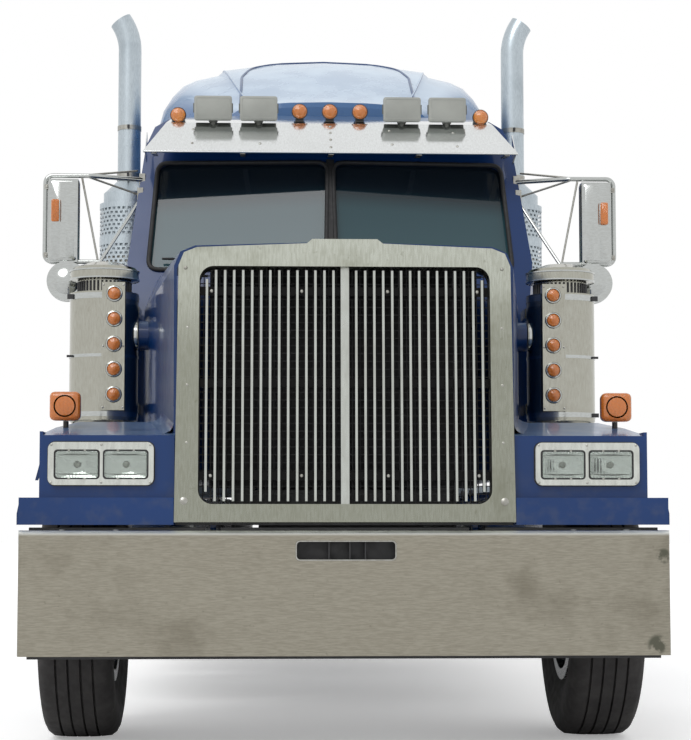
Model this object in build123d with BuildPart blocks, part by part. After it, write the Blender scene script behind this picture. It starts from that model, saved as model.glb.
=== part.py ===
"""A long-nose conventional truck tractor with a raised-roof sleeper, on three axles.

Millimetres. X runs across, with the truck's own left at +X. Y runs back from the bumper's front face
and Z runs up from the ground. Each finished piece is moved forward by half the length when it is
written, so that the origin is on the ground under the middle of the truck.
"""

import os
from math import atan2, cos, degrees, radians, sin

from build123d import *

os.makedirs("parts", exist_ok=True)

# Overall
LENGTH = 7950.0
SEAT_GAP = 0.3
RUNNING_GAP = 0.3

# Axles and wheels
STEER_AXLE_Y = 760.0
DRIVE_AXLES_Y = (LENGTH - 1960.0, LENGTH - 640.0)
TYRE_RADIUS = 522.5
STEER_TRACK_HALF = 1035.0
DUAL_CENTRE_HALF = 915.0
DUAL_SPACING = 340.0
BEAD_RADIUS = 286.0
SPINDLE_RADIUS = 40.0
SPINDLE_END = 1125.0
SPINDLE_REACH = 1010.0
HOUSING_HALF = 640.0
DISC_WALL = 34.0
DRUM_RADIUS = 205.0
HUB_RADIUS = 100.0
KINGPIN_X = 872.0
KINGPIN_RADIUS = 20.0
TIE_ROD_Y = 985.0
STUD_RADIUS = 12.0

# Frame rails
RAIL_OUTER_X = 432.0
RAIL_FLANGE = 90.0
RAIL_WALL = 9.0
RAIL_BOTTOM = 730.0
RAIL_TOP = 1000.0
RAIL_FRONT_Y = 210.0
RAIL_REAR_Y = LENGTH - 50.0
FRONT_CROSSMEMBERS_Y = (230.0, 2950.0, 3900.0, 4900.0)
REAR_CROSSMEMBERS_Y = (DRIVE_AXLES_Y[0] - 540.0, DRIVE_AXLES_Y[1] - 690.0, RAIL_REAR_Y - 60.0)
CROSSMEMBER_DEPTH = 60.0
CROSSMEMBER_BOTTOM = 860.0
BOLT_SPACING_X = 82.6
BOLT_SPACING_Z = 44.4
BOLT_RADIUS = 6.75

# Bumper
BUMPER_HALF = 1219.0
BUMPER_BOTTOM = 372.0
BUMPER_TOP = 837.0
BUMPER_DEPTH = 90.0
BUMPER_WALL = 6.0
BUMPER_CORNER = 22.0
SLOT_HALF = 189.0
SLOT_BOTTOM = 724.0
SLOT_TOP = 800.0

# Hood pivot and its arms
PIVOT_Y = 60.0
PIVOT_Z = 600.0
PIVOT_RADIUS = 15.0
BRACKET_WALL = 16.0
ARM_X = (490.0, 510.0)
ARM_RING = (256.0, 292.0)
ARM_ANGLES = (5.0, 69.0)
CROSSBAR_Y = (155.0, 190.0)

# Hood and fenders
HOOD_REAR_Y = 1690.0
HOOD_BOTTOM = 868.0
HOOD_REAR_BOTTOM = 1050.0
HOOD_FRONT_HALF = 638.0
HOOD_REAR_HALF = 868.0
HOOD_FRONT_TOP = 1926.0
HOOD_REAR_TOP = 2038.0
HOOD_WALL = 12.0
FENDER_INNER = 646.0
NOSE_Y = 100.0
NOSE_HALF = 1154.0
LIP_Y = 60.0
LIP_HALF = 1225.0
LIP_BOTTOM = 858.0
LIP_TOP = 960.0
FENDER_END_Y = 1318.0
ARCH_RADIUS = 612.0
FENDER_FRONT_TOP = 1196.0
FENDER_PEAK = 1276.0

# Grille
LEAN = degrees(atan2(60.0, 1084.0))
SHELL_DEPTH = 90.0
SHELL_BOTTOM_HALF = 645.0
SHELL_TOP_HALF = 636.0
SHELL_SHOULDER = 1051.0
SHELL_CORNER = 70.0
TAB_HALF = (125.0, 146.0)
TAB_TOP = 1085.0
TAB_STEP = 1068.0
GRILLE_HALF = 556.0
GRILLE_LOW = 68.0
GRILLE_HIGH = 978.0
GRILLE_CORNER = 55.0
BAR_COUNT = 15
BAR_FIRST = 43.6
BAR_PITCH = 34.6
BAR_WIDTH = 9.0
BAR_DEPTH = 24.0
BAR_SET_BACK = 20.0
BAR_END_GAP = 12.0
CENTRE_BAR_WIDTH = 32.0
STRAPS_UP = (178.0, 533.0, 888.0)
STRAP_HEIGHT = 34.0
STRAP_DEPTH = 8.0

# Headlamps and turn lamps
BEZEL_X = (723.0, 1120.0)
BEZEL_Z = (1007.0, 1169.0)
BEZEL_DEPTH = 22.0
BEZEL_CORNER = 26.0
LENSES_X = ((742.0, 914.0), (925.0, 1098.0))
LENS_Z = (1029.0, 1141.0)
LENS_CORNER = 14.0
LENS_DEPTH = 14.0
TURN_X = (1032.0, 1152.0)
TURN_Z = (1266.0, 1380.0)
TURN_Y = (385.0, 460.0)
TURN_POST_RADIUS = 13.0

# Cab and sleeper
CAB_FRONT_Y = 1720.0
CAB_REAR_Y = 3225.0
CAB_HALF = 964.0
COWL_HALF = CAB_HALF - 53.0
CAB_FLOOR = 1080.0
CAB_WALL = 50.0
BELT = 2085.0
CAB_ROOF = 2895.0
FRONT_LINE = 2130.0
ROOF_LINE = 2740.0
ROOF_PANEL_HALF = 400.0
DOOR_Y = (1985.0, 2960.0)
DOOR_Z = (1150.0, 2660.0)
DOOR_GAP = 6.0
DOOR_REAR_GAP = 15.0
HINGE_RADIUS = 12.0
HINGE_PIN = 5.0
HINGE_LEAF = 6.0
HINGES_Z = (1260.0, 1950.0)
WINDOW_Z = (2095.0, 2600.0)
GLASS_DEPTH = 18.0
GLASS_WALL = 6.0
SLEEPER_FRONT_Y = 3240.0
SLEEPER_REAR_Y = 4860.0
SLEEPER_HALF = 905.0
SLEEPER_TOP = 2830.0
SLEEPER_WALL = 50.0
PASSAGE_HALF = 330.0
PASSAGE_Z = (1400.0, SLEEPER_TOP - 280.0)
CAP_FRONT_Y = 2290.0
CAP_WALL = 30.0

# Exhausts, air cleaners and lamp panels
STACK_X = SLEEPER_HALF + 179.0
STACK_Y = 3550.0
PIPE_RADIUS = 64.0
MUFFLER_RADIUS = 140.0
MUFFLER_Z = (1250.0, 2700.0)
CONE_TOP = 2773.0
GUARD_RADIUS = 161.0
GUARD_WALL = 3.0
GUARD_Z = (1450.0, 2639.0)
TIP_BEND_Z = 3520.0
TIP_BEND_RADIUS = 300.0
TIP_ANGLE = 35.0
CLEANER_X = CAB_HALF + 73.0
CLEANER_Y = 1500.0
CLEANER_RADIUS = 154.0
CLEANER_BOTTOM = 1290.0
NECK_RADIUS = 117.0
DUCT_Z = 1707.0
DUCT_RADIUS = 66.0
DUCT_X = (876.0, 882.0)
PANEL_X = (CLEANER_X - 106.0, CLEANER_X - 4.0)
PANEL_Y = 1322.0
PANEL_Z = (1360.0, 1930.0)
PANEL_LAMP_X = CLEANER_X - 59.0
PANEL_LAMP_TOP = 1878.0
PANEL_LAMP_PITCH = 112.0
PANEL_LAMP_RADIUS = 27.0

# Fifth wheel
FIFTH_Y = DRIVE_AXLES_Y[0] + 560.0
FIFTH_TOP = 1230.0
FIFTH_PLATE = 45.0
FIFTH_HALF = 457.0
FIFTH_PIVOT_Z = 1120.0
KINGPIN_BORE = 25.6


def across(y):
    """The plane that stands across the truck at a station, seen from the front."""
    return Plane.XZ.offset(-y)


def along(x):
    """The plane that stands along the truck."""
    return Plane.YZ.offset(x)


def level(z):
    """The level plane at a height."""
    return Plane.XY.offset(z)


def slab(x, y, z, mode=Mode.ADD):
    """A block between a pair of limits along each axis."""
    middle = tuple((low + high) / 2 for low, high in (x, y, z))
    with Locations(middle):
        Box(x[1] - x[0], y[1] - y[0], z[1] - z[0], mode=mode)


def prism(plane, points, amount, corner=0.0, both=False, mode=Mode.ADD):
    """A straight-sided outline, its corners rounded where asked, pushed out from its plane."""
    with BuildSketch(plane) as outline:
        with BuildLine():
            Polyline(*points, close=True)
        make_face()
        if corner:
            fillet(outline.vertices(), corner)
    extrude(outline.sketch, amount=amount, both=both, mode=mode)


def rod(start, end, radius, mode=Mode.ADD):
    """A round bar from one point to another."""
    reach = Vector(*end) - Vector(*start)
    with BuildSketch(Plane(origin=start, z_dir=reach)) as section:
        Circle(radius)
    extrude(section.sketch, amount=reach.length, mode=mode)


def write(piece, label):
    """Moves a finished piece to the origin under the truck's middle and writes it."""
    placed = piece.moved(Location((0, -LENGTH / 2, 0)))
    placed.label = label
    export_step(placed, f"parts/{label}.step")


def write_pair(piece, label):
    """Writes the left-hand piece and its mirror image."""
    write(piece, f"{label}_left")
    write(mirror(piece, about=Plane.YZ), f"{label}_right")


# Frame: two channel rails, crossmembers, bumper brackets and the hood's pivot pins
with BuildPart() as frame:
    inner = RAIL_OUTER_X - RAIL_WALL
    lip = RAIL_OUTER_X - RAIL_FLANGE
    prism(
        across(RAIL_FRONT_Y),
        [
            (RAIL_OUTER_X, RAIL_TOP),
            (lip, RAIL_TOP),
            (lip, RAIL_TOP - RAIL_WALL),
            (inner, RAIL_TOP - RAIL_WALL),
            (inner, RAIL_BOTTOM + RAIL_WALL),
            (lip, RAIL_BOTTOM + RAIL_WALL),
            (lip, RAIL_BOTTOM),
            (RAIL_OUTER_X, RAIL_BOTTOM),
        ],
        RAIL_FRONT_Y - RAIL_REAR_Y,
    )
    bracket = (RAIL_OUTER_X, RAIL_OUTER_X + BRACKET_WALL)
    slab(bracket, (BUMPER_WALL, 420), (560, BUMPER_TOP - 30))
    rod((bracket[1], PIVOT_Y, PIVOT_Z), (ARM_X[1] + 20, PIVOT_Y, PIVOT_Z), PIVOT_RADIUS)
    mirror(about=Plane.YZ)
    for y in FRONT_CROSSMEMBERS_Y + REAR_CROSSMEMBERS_Y:
        slab((-inner, inner), (y, y + CROSSMEMBER_DEPTH), (CROSSMEMBER_BOTTOM, RAIL_TOP - RAIL_WALL))
    with BuildSketch(across(RAIL_REAR_Y)):
        with Locations((0, (CROSSMEMBER_BOTTOM + RAIL_TOP) / 2)):
            with GridLocations(BOLT_SPACING_X, BOLT_SPACING_Z, 2, 2):
                Circle(BOLT_RADIUS)
    extrude(amount=CROSSMEMBER_DEPTH, mode=Mode.SUBTRACT)
write(frame.part, "frame_rails")

# Bumper: a bright channel with rolled top, closed ends and a plate slot
def bumper_form(wall):
    """The bumper's outer form, or the hollow that its wall leaves."""
    with BuildPart() as form:
        prism(
            along(0),
            [
                (wall, BUMPER_BOTTOM + wall),
                (wall, BUMPER_TOP - 11 - wall / 2),
                (12 + wall / 2, BUMPER_TOP - 3 - wall),
                (25 + wall / 2, BUMPER_TOP - wall),
                (BUMPER_DEPTH + wall, BUMPER_TOP - wall),
                (BUMPER_DEPTH + wall, BUMPER_BOTTOM + wall),
            ],
            BUMPER_HALF - wall,
            both=True,
        )
        ends = form.edges().filter_by(Axis.Z).group_by(Axis.Y)[0]
        fillet(ends, BUMPER_CORNER - wall)
    return form.part


bumper_outer = bumper_form(0)
bumper_inner = bumper_form(BUMPER_WALL)
with BuildPart() as bumper:
    add(bumper_outer)
    add(bumper_inner, mode=Mode.SUBTRACT)
    prism(
        across(0),
        [(-SLOT_HALF, SLOT_BOTTOM), (SLOT_HALF, SLOT_BOTTOM), (SLOT_HALF, SLOT_TOP), (-SLOT_HALF, SLOT_TOP)],
        -2 * BUMPER_WALL,
        corner=16,
        mode=Mode.SUBTRACT,
    )
write(bumper.part, "front_bumper")

# Front axle: a dropped beam with kingpins
AXLE_WEB = 26.0
AXLE_HALF_DEPTH = 45.0
SPRING_PAD_TOP = 490.0
with BuildPart() as front_axle:
    prism(
        across(STEER_AXLE_Y),
        [
            (0, 390), (540, 390), (700, 475), (KINGPIN_X, 475),
            (KINGPIN_X, 565), (680, 565), (520, 480), (0, 480),
        ],
        AXLE_HALF_DEPTH,
        both=True,
    )
    for y_out in (-1, 1):
        near, far = AXLE_WEB / 2 * y_out, AXLE_HALF_DEPTH * y_out
        prism(
            across(STEER_AXLE_Y + near),
            [
                (0, 406), (535, 406), (695, 491), (KINGPIN_X - 60, 491),
                (KINGPIN_X - 60, 549), (685, 549), (525, 464), (0, 464),
            ],
            near - far,
            mode=Mode.SUBTRACT,
        )
    slab((335, 435), (STEER_AXLE_Y - 80, STEER_AXLE_Y + 80), (480, SPRING_PAD_TOP))
    rod((KINGPIN_X, STEER_AXLE_Y, 455), (KINGPIN_X, STEER_AXLE_Y, 590), 50)
    rod((KINGPIN_X, STEER_AXLE_Y, 390), (KINGPIN_X, STEER_AXLE_Y, 655), KINGPIN_RADIUS)
    mirror(about=Plane.YZ)
write(front_axle.part, "front_axle")

# Springs: front leaf packs in their hangers, rear arms with air springs
SPRING_X = (345.0, 425.0)
FRONT_SPRING_REACH = 640.0
with BuildPart() as springs:
    front_y, rear_y = STEER_AXLE_Y - FRONT_SPRING_REACH, STEER_AXLE_Y + FRONT_SPRING_REACH
    with BuildSketch(along(SPRING_X[0])):
        with BuildLine():
            low = ThreePointArc((front_y, 672), (STEER_AXLE_Y, SPRING_PAD_TOP), (rear_y, 672))
            high = ThreePointArc((front_y, 694), (STEER_AXLE_Y, SPRING_PAD_TOP + 66), (rear_y, 694))
            Line(low @ 0, high @ 0)
            Line(low @ 1, high @ 1)
        make_face()
    extrude(amount=SPRING_X[1] - SPRING_X[0])
    for hanger_y in (RAIL_FRONT_Y, rear_y - 60):
        slab(SPRING_X, (hanger_y, hanger_y + 60), (660, RAIL_BOTTOM))
    for axle_y in DRIVE_AXLES_Y:
        slab(SPRING_X, (axle_y - 540, axle_y - 440), (600, RAIL_BOTTOM))
        prism(
            along(SPRING_X[0]),
            [
                (axle_y - 540, 600), (axle_y - 80, 592.5), (axle_y + 80, 592.5), (axle_y + 200, 540),
                (axle_y + 470, 540), (axle_y + 470, 575), (axle_y + 215, 590), (axle_y + 100, 650),
                (axle_y - 100, 650), (axle_y - 540, 640),
            ],
            SPRING_X[1] - SPRING_X[0],
        )
        rod((387, axle_y + 350, 570), (387, axle_y + 350, RAIL_BOTTOM), 120)
    mirror(about=Plane.YZ)
write(springs.part, "springs")

# Drive axles: banjo housings with pinion noses, hollow spindles outboard
BANJO_RADIUS = 195.0
with BuildPart() as drive_axles:
    for axle_y in DRIVE_AXLES_Y:
        with BuildSketch(Plane(origin=(0, axle_y, TYRE_RADIUS), x_dir=(1, 0, 0), z_dir=(0, -1, 0))) as housing:
            with BuildLine():
                half = [
                    (SPINDLE_REACH, 0), (SPINDLE_REACH, SPINDLE_RADIUS), (HOUSING_HALF, SPINDLE_RADIUS),
                    (HOUSING_HALF, 70), (340, 70), (150, 100),
                ]
                Polyline(*half, *[(-x, radius) for x, radius in reversed(half)], close=True)
            make_face()
        revolve(housing.sketch, axis=Axis((0, axle_y, TYRE_RADIUS), (1, 0, 0)))
        with BuildSketch(Plane(origin=(0, axle_y, TYRE_RADIUS))) as banjo:
            with BuildLine():
                Polyline(
                    (0, -165), (140, -165), (BANJO_RADIUS, -100), (BANJO_RADIUS, 90), (140, 150), (0, 150),
                    close=True,
                )
            make_face()
        revolve(banjo.sketch, axis=Axis((0, axle_y, TYRE_RADIUS), (0, 1, 0)))
        rod((0, axle_y - 420, TYRE_RADIUS + 40), (0, axle_y, TYRE_RADIUS + 40), 85)
        rod((0, axle_y, TYRE_RADIUS + 40), (0, axle_y + 260, TYRE_RADIUS + 40), 60)
write(drive_axles.part, "drive_axles")

# Propeller shafts from the gearbox to both drive axles
SHAFT_Z = 820.0
GEARBOX_END_Y = 2600.0
JOINT_RADIUS = 52.0
with BuildPart() as shafts:
    pinion_z = TYRE_RADIUS + 40
    nose, tail = DRIVE_AXLES_Y[0] - 420, DRIVE_AXLES_Y[0] + 260
    joint_gap = JOINT_RADIUS + SEAT_GAP
    runs = (
        ((0, GEARBOX_END_Y + joint_gap, SHAFT_Z), (0, nose - joint_gap, pinion_z)),
        ((0, tail + joint_gap, pinion_z), (0, DRIVE_AXLES_Y[1] - 420 - joint_gap, pinion_z)),
    )
    for start, end in runs:
        rod(start, end, 45)
        with Locations(start, end):
            Sphere(JOINT_RADIUS)
write(shafts.part, "propeller_shafts")

# Engine and gearbox as one plain block on its mounts
ENGINE_Y = (480.0, 1690.0)
with BuildPart() as engine:
    prism(
        across(ENGINE_Y[0]),
        [(-200, 620), (200, 620), (330, 800), (330, 1450), (250, 1700), (-250, 1700), (-330, 1450), (-330, 800)],
        ENGINE_Y[0] - ENGINE_Y[1],
    )
    rod((0, ENGINE_Y[1], SHAFT_Z), (0, GEARBOX_END_Y, SHAFT_Z), 200)
    slab((-inner, inner), (900, 1000), (880, 960))
write(engine.part, "engine_block")

# Radiator core with its side tanks, standing on the rails
RADIATOR_Y = (262.0, 362.0)
RADIATOR_TOP = 1850.0
with BuildPart() as radiator:
    slab((-520, 520), RADIATOR_Y, (RAIL_TOP, RADIATOR_TOP))
    slab((-445, 445), (RADIATOR_Y[0] - 12, RADIATOR_Y[0]), (RAIL_TOP + 60, RADIATOR_TOP - 60))
write(radiator.part, "radiator")

# Fuel tanks on their brackets, with steps
TANK_X = 790.0
TANK_Z = 690.0
TANK_RADIUS = 320.0
TANK_Y = (2050.0, 3350.0)
STEPS_Z = (560.0, 850.0)
with BuildPart() as tanks:
    rod((TANK_X, TANK_Y[0], TANK_Z), (TANK_X, TANK_Y[1], TANK_Z), TANK_RADIUS)
    fillet(tanks.edges().filter_by(GeomType.CIRCLE), 30)
    for bracket_y in (TANK_Y[0] + 250, TANK_Y[1] - 330):
        slab((RAIL_OUTER_X, TANK_X - 150), (bracket_y, bracket_y + 80), (TANK_Z - 250, TANK_Z + 200))
        slab((TANK_X, 1190), (bracket_y, bracket_y + 80), (STEPS_Z[0] - 40, STEPS_Z[0]))
        slab((TANK_X, 1150), (bracket_y, bracket_y + 80), (STEPS_Z[1] - 40, STEPS_Z[1]))
    for step_z, reach in zip(STEPS_Z, (1190, 1150)):
        slab((reach - 150, reach), (TANK_Y[0] + 200, TANK_Y[1] - 200), (step_z, step_z + 25))
    mirror(about=Plane.YZ)
write(tanks.part, "fuel_tanks")

# Tool boxes below the sleeper
with BuildPart() as boxes:
    slab((RAIL_OUTER_X, 1090), (3760, DRIVE_AXLES_Y[0] - 1230), (480, 990))
    fillet(boxes.edges().filter_by(Axis.Y).group_by(Axis.X)[-1], 40)
    mirror(about=Plane.YZ)
write(boxes.part, "tool_boxes")

# Fifth wheel: base brackets on the rails and the rocking plate
with BuildPart() as fifth_base:
    slab((-RAIL_OUTER_X, RAIL_OUTER_X), (FIFTH_Y - 330, FIFTH_Y + 330), (RAIL_TOP, RAIL_TOP + 20))
    for x in (RAIL_OUTER_X - 60, -RAIL_OUTER_X):
        prism(
            along(x),
            [
                (FIFTH_Y - 160, RAIL_TOP + 20), (FIFTH_Y + 160, RAIL_TOP + 20),
                (FIFTH_Y + 60, FIFTH_PIVOT_Z), (FIFTH_Y - 60, FIFTH_PIVOT_Z),
            ],
            60,
        )
        rod((x, FIFTH_Y, FIFTH_PIVOT_Z), (x + 60, FIFTH_Y, FIFTH_PIVOT_Z), 48)
        pin_end = x + 60 + 44 if x < 0 else x - 44
        rod((x + 30, FIFTH_Y, FIFTH_PIVOT_Z), (pin_end, FIFTH_Y, FIFTH_PIVOT_Z), 22)
write(fifth_base.part, "fifth_wheel_base")

with BuildPart() as fifth_plate:
    with BuildSketch(level(FIFTH_TOP - FIFTH_PLATE)) as plate_plan:
        with BuildLine():
            Polyline(
                (-FIFTH_HALF, FIFTH_Y + 120), (-FIFTH_HALF, FIFTH_Y - 150), (-250, FIFTH_Y - 420),
                (250, FIFTH_Y - 420), (FIFTH_HALF, FIFTH_Y - 150), (FIFTH_HALF, FIFTH_Y + 120),
                (330, FIFTH_Y + 430), (190, FIFTH_Y + 430), (52, FIFTH_Y + 80), (-52, FIFTH_Y + 80),
                (-190, FIFTH_Y + 430), (-330, FIFTH_Y + 430), close=True,
            )
        make_face()
        fillet(plate_plan.vertices().filter_by(lambda v: v.Y < FIFTH_Y - 100), 90)
    extrude(amount=FIFTH_PLATE)
    rod((0, FIFTH_Y, FIFTH_TOP - FIFTH_PLATE), (0, FIFTH_Y, FIFTH_TOP), KINGPIN_BORE, mode=Mode.SUBTRACT)
    for side in (-1, 1):
        near, far = (RAIL_OUTER_X - 66) * side, (RAIL_OUTER_X - 110) * side
        low_x, high_x = min(near, far), max(near, far)
        prism(
            along(low_x),
            [
                (FIFTH_Y - 46, FIFTH_PIVOT_Z), (FIFTH_Y + 46, FIFTH_PIVOT_Z),
                (FIFTH_Y + 110, FIFTH_TOP - FIFTH_PLATE), (FIFTH_Y - 110, FIFTH_TOP - FIFTH_PLATE),
            ],
            high_x - low_x,
        )
        rod((low_x, FIFTH_Y, FIFTH_PIVOT_Z), (high_x, FIFTH_Y, FIFTH_PIVOT_Z), 46)
        rod(
            (low_x, FIFTH_Y, FIFTH_PIVOT_Z), (high_x, FIFTH_Y, FIFTH_PIVOT_Z),
            22 + RUNNING_GAP, mode=Mode.SUBTRACT,
        )
write(fifth_plate.part, "fifth_wheel_plate")

# Mud flaps on hangers and the tail lamp bar
with BuildPart() as flaps:
    slab((RAIL_OUTER_X, 1200), (RAIL_REAR_Y - 30, RAIL_REAR_Y), (900, 940))
    slab((640, 1200), (RAIL_REAR_Y - 10, RAIL_REAR_Y), (260, 900))
    mirror(about=Plane.YZ)
write(flaps.part, "mud_flaps")

with BuildPart() as tail_lamps:
    for x in (-330.0, -220.0, 220.0, 330.0):
        rod((x, RAIL_REAR_Y, 925), (x, LENGTH, 925), 52)
write(tail_lamps.part, "tail_lamps")


def windshield_plane(side):
    """The plane of one windshield pane; its x runs outward and its y up the glass."""
    base, corner, top = Vector(0, 1790, 2040), Vector(side * 882, 1850, 2040), Vector(0, 2000, 2640)
    outward, upward = corner - base, top - base
    normal = outward.cross(upward) if side > 0 else upward.cross(outward)
    return Plane(origin=base, x_dir=outward, z_dir=normal)


def cab_form(inset):
    """The cab's outer form, or the hollow that an inset leaves inside its walls."""
    with BuildPart() as form:
        prism(
            along(0),
            [
                (CAB_FRONT_Y + inset, CAB_FLOOR + inset),
                (CAB_FRONT_Y + inset, 1955 - inset),
                (1790 + inset, 2040 - inset),
                (1790 + inset, 2060),
                (1992 + inset, 2640 - inset),
                (2045 + inset, 2790 - inset),
                (2080 + inset / 2, 2815 - inset),
                (2300, CAB_ROOF - inset),
                (CAB_REAR_Y - inset, CAB_ROOF - inset),
                (CAB_REAR_Y - inset, CAB_FLOOR + inset),
            ],
            CAB_HALF + 50,
            both=True,
        )
        half = [
            (CAB_HALF - inset, CAB_FLOOR + inset),
            (CAB_HALF - inset, BELT),
            (CAB_HALF - 60 - inset, 2597),
            (CAB_HALF - 71 - inset, 2690 - inset / 2),
            (CAB_HALF - 112 - inset, 2790 - inset),
            (CAB_HALF - 204 - inset / 2, 2846 - inset),
            (400, CAB_ROOF - 10 - inset),
        ]
        left = [(-x, z) for x, z in reversed(half)]
        prism(across(CAB_FRONT_Y - 50), half + left, -(CAB_REAR_Y - CAB_FRONT_Y + 100), mode=Mode.INTERSECT)
        plan = [
            (COWL_HALF - inset, CAB_FRONT_Y + inset),
            (CAB_HALF - inset, 1880),
            (CAB_HALF - inset, CAB_REAR_Y - inset),
        ]
        mirrored = [(-x, y) for x, y in reversed(plan)]
        prism(level(CAB_FLOOR - 50), plan + mirrored, CAB_ROOF - CAB_FLOOR + 100, mode=Mode.INTERSECT)
        for side in (-1, 1):
            split(bisect_by=windshield_plane(side).offset(-inset), keep=Keep.BOTTOM)
    return form.part


cab_outer = cab_form(0)
cab_inner = cab_form(CAB_WALL)


HINGE_X = CAB_HALF + HINGE_RADIUS
HINGE_Y = DOOR_Y[0] + DOOR_GAP / 2


def hinge_half(side, reach, spans):
    """Hinge leaves and barrels at both heights on one side of the cab, reaching to a place along it."""
    for hinge_z in HINGES_Z:
        for low, high in spans:
            base, top = hinge_z + low, hinge_z + high
            rod((side * HINGE_X, HINGE_Y, base), (side * HINGE_X, HINGE_Y, top), HINGE_RADIUS)
            slab(
                sorted((side * (CAB_HALF - 1), side * (CAB_HALF + HINGE_LEAF))),
                sorted((HINGE_Y, reach)),
                (base, top),
            )


def door_outline(gap, rear_gap):
    """The door's outline in the side view, drawn in by the gaps."""
    return [
        (DOOR_Y[0] + gap, DOOR_Z[0] + gap),
        (DOOR_Y[0] + gap, BELT - 20),
        (DOOR_Y[0] + 95 + gap, DOOR_Z[1] - gap),
        (DOOR_Y[1] - rear_gap, DOOR_Z[1] - gap),
        (DOOR_Y[1] - rear_gap, DOOR_Z[0] + gap),
    ]


def window_outline(gap):
    """The door window's outline in the side view."""
    return [
        (DOOR_Y[0] + 80 + gap, WINDOW_Z[0] + gap),
        (DOOR_Y[0] + 160 + gap, WINDOW_Z[1] - gap),
        (DOOR_Y[1] - 80 - gap, WINDOW_Z[1] - gap),
        (DOOR_Y[1] - 80 - gap, WINDOW_Z[0] + gap),
    ]


PANE = ((25, 14), (868, 14), (846, 590), (25, 590))


def pane_outline(gap):
    """One windshield pane's outline on its own plane."""
    (x0, y0), (x1, y1), (x2, y2), (x3, y3) = PANE
    return [(x0 + gap, y0 + gap), (x1 - gap, y1 + gap), (x2 - gap, y2 - gap), (x3 + gap, y3 - gap)]


# Cab shell with its door openings, windshield openings and the passage to the sleeper
with BuildPart() as cab:
    add(cab_outer)
    add(cab_inner, mode=Mode.SUBTRACT)
    for side in (-1, 1):
        reach = CAB_HALF + 100
        prism(along(side * 700), door_outline(0, 0), side * (reach - 700), corner=30, mode=Mode.SUBTRACT)
    with BuildSketch(windshield_plane(1)) as left_pane:
        with BuildLine():
            Polyline(*pane_outline(0), close=True)
        make_face()
        fillet(left_pane.vertices(), 55)
    opening = extrude(amount=130, both=True, mode=Mode.SUBTRACT)
    mirror(opening, about=Plane.YZ, mode=Mode.SUBTRACT)
    slab((-PASSAGE_HALF, PASSAGE_HALF), (CAB_REAR_Y - 100, CAB_REAR_Y + 10), PASSAGE_Z, mode=Mode.SUBTRACT)
    for mount_y in (1790, 3080):
        for x in (RAIL_OUTER_X - RAIL_FLANGE, -RAIL_OUTER_X):
            slab((x, x + RAIL_FLANGE), (mount_y, mount_y + 90), (RAIL_TOP, CAB_FLOOR))
    for side in (-1, 1):
        hinge_half(side, DOOR_Y[0] - 55, ((0, 24), (56, 80)))
        for hinge_z in HINGES_Z:
            rod((side * HINGE_X, HINGE_Y, hinge_z), (side * HINGE_X, HINGE_Y, hinge_z + 80), HINGE_PIN)


def cab_piece(label, x, y, z):
    """Writes the pieces of the cab's shell that lie between limits, alike on both sides."""
    with BuildPart() as piece:
        add(cab.part)
        slab(x, y, z, mode=Mode.INTERSECT)
        if x[0] > 0:
            mirror(about=Plane.YZ)
    write(piece.part, label)


# The shell's pressings: floor, front with its pillars, sides, back and roof
FLOOR_TOP = CAB_FLOOR + CAB_WALL
BACK_LINE = CAB_REAR_Y - CAB_WALL
CAB_SPAN = CAB_HALF + 50
above_floor = (FLOOR_TOP + SEAT_GAP, ROOF_LINE)
above_line = (ROOF_LINE + SEAT_GAP, CAB_ROOF + 50)
behind_front = FRONT_LINE + SEAT_GAP
cab_piece("cab_floor", (-CAB_SPAN, CAB_SPAN), (CAB_FRONT_Y - 50, CAB_REAR_Y + 50), (RAIL_TOP - 50, FLOOR_TOP))
cab_piece("cab_shell", (-CAB_SPAN, CAB_SPAN), (CAB_FRONT_Y - 50, FRONT_LINE), (above_floor[0], above_line[1]))
cab_piece("cab_sides", (-CAB_SPAN, CAB_SPAN), (behind_front, BACK_LINE), above_floor)
cab_piece("cab_back", (-CAB_SPAN, CAB_SPAN), (BACK_LINE + SEAT_GAP, CAB_REAR_Y + 50), above_floor)
cab_piece("cab_roof", (-ROOF_PANEL_HALF, ROOF_PANEL_HALF), (behind_front, CAB_REAR_Y + 50), above_line)
cab_piece("cab_roof_sides", (ROOF_PANEL_HALF + SEAT_GAP, CAB_SPAN), (behind_front, CAB_REAR_Y + 50), above_line)

with BuildPart() as windshield:
    with BuildSketch(windshield_plane(1).offset(-GLASS_DEPTH)) as glass_face:
        with BuildLine():
            Polyline(*pane_outline(SEAT_GAP), close=True)
        make_face()
        fillet(glass_face.vertices(), 55)
    extrude(amount=-GLASS_WALL)
    mirror(about=Plane.YZ)
write(windshield.part, "windshield")

# Doors with their window glass
with BuildPart() as door:
    add(cab_outer)
    add(cab_inner, mode=Mode.SUBTRACT)
    prism(along(700), door_outline(DOOR_GAP, DOOR_REAR_GAP), 400, corner=26, mode=Mode.INTERSECT)
    prism(along(700), window_outline(0), 400, corner=45, mode=Mode.SUBTRACT)
    hinge_half(1, DOOR_Y[0] + DOOR_GAP + 60, ((24 + SEAT_GAP, 56 - SEAT_GAP),))
    for hinge_z in HINGES_Z:
        rod(
            (HINGE_X, HINGE_Y, hinge_z), (HINGE_X, HINGE_Y, hinge_z + 80),
            HINGE_PIN + RUNNING_GAP, mode=Mode.SUBTRACT,
        )
write_pair(door.part, "door")

glass_outer = cab_form(GLASS_DEPTH)
glass_inner = cab_form(GLASS_DEPTH + GLASS_WALL)
with BuildPart() as door_glass:
    add(glass_outer)
    add(glass_inner, mode=Mode.SUBTRACT)
    prism(along(700), window_outline(SEAT_GAP), 400, corner=45, mode=Mode.INTERSECT)
write_pair(door_glass.part, "door_glass")

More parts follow.
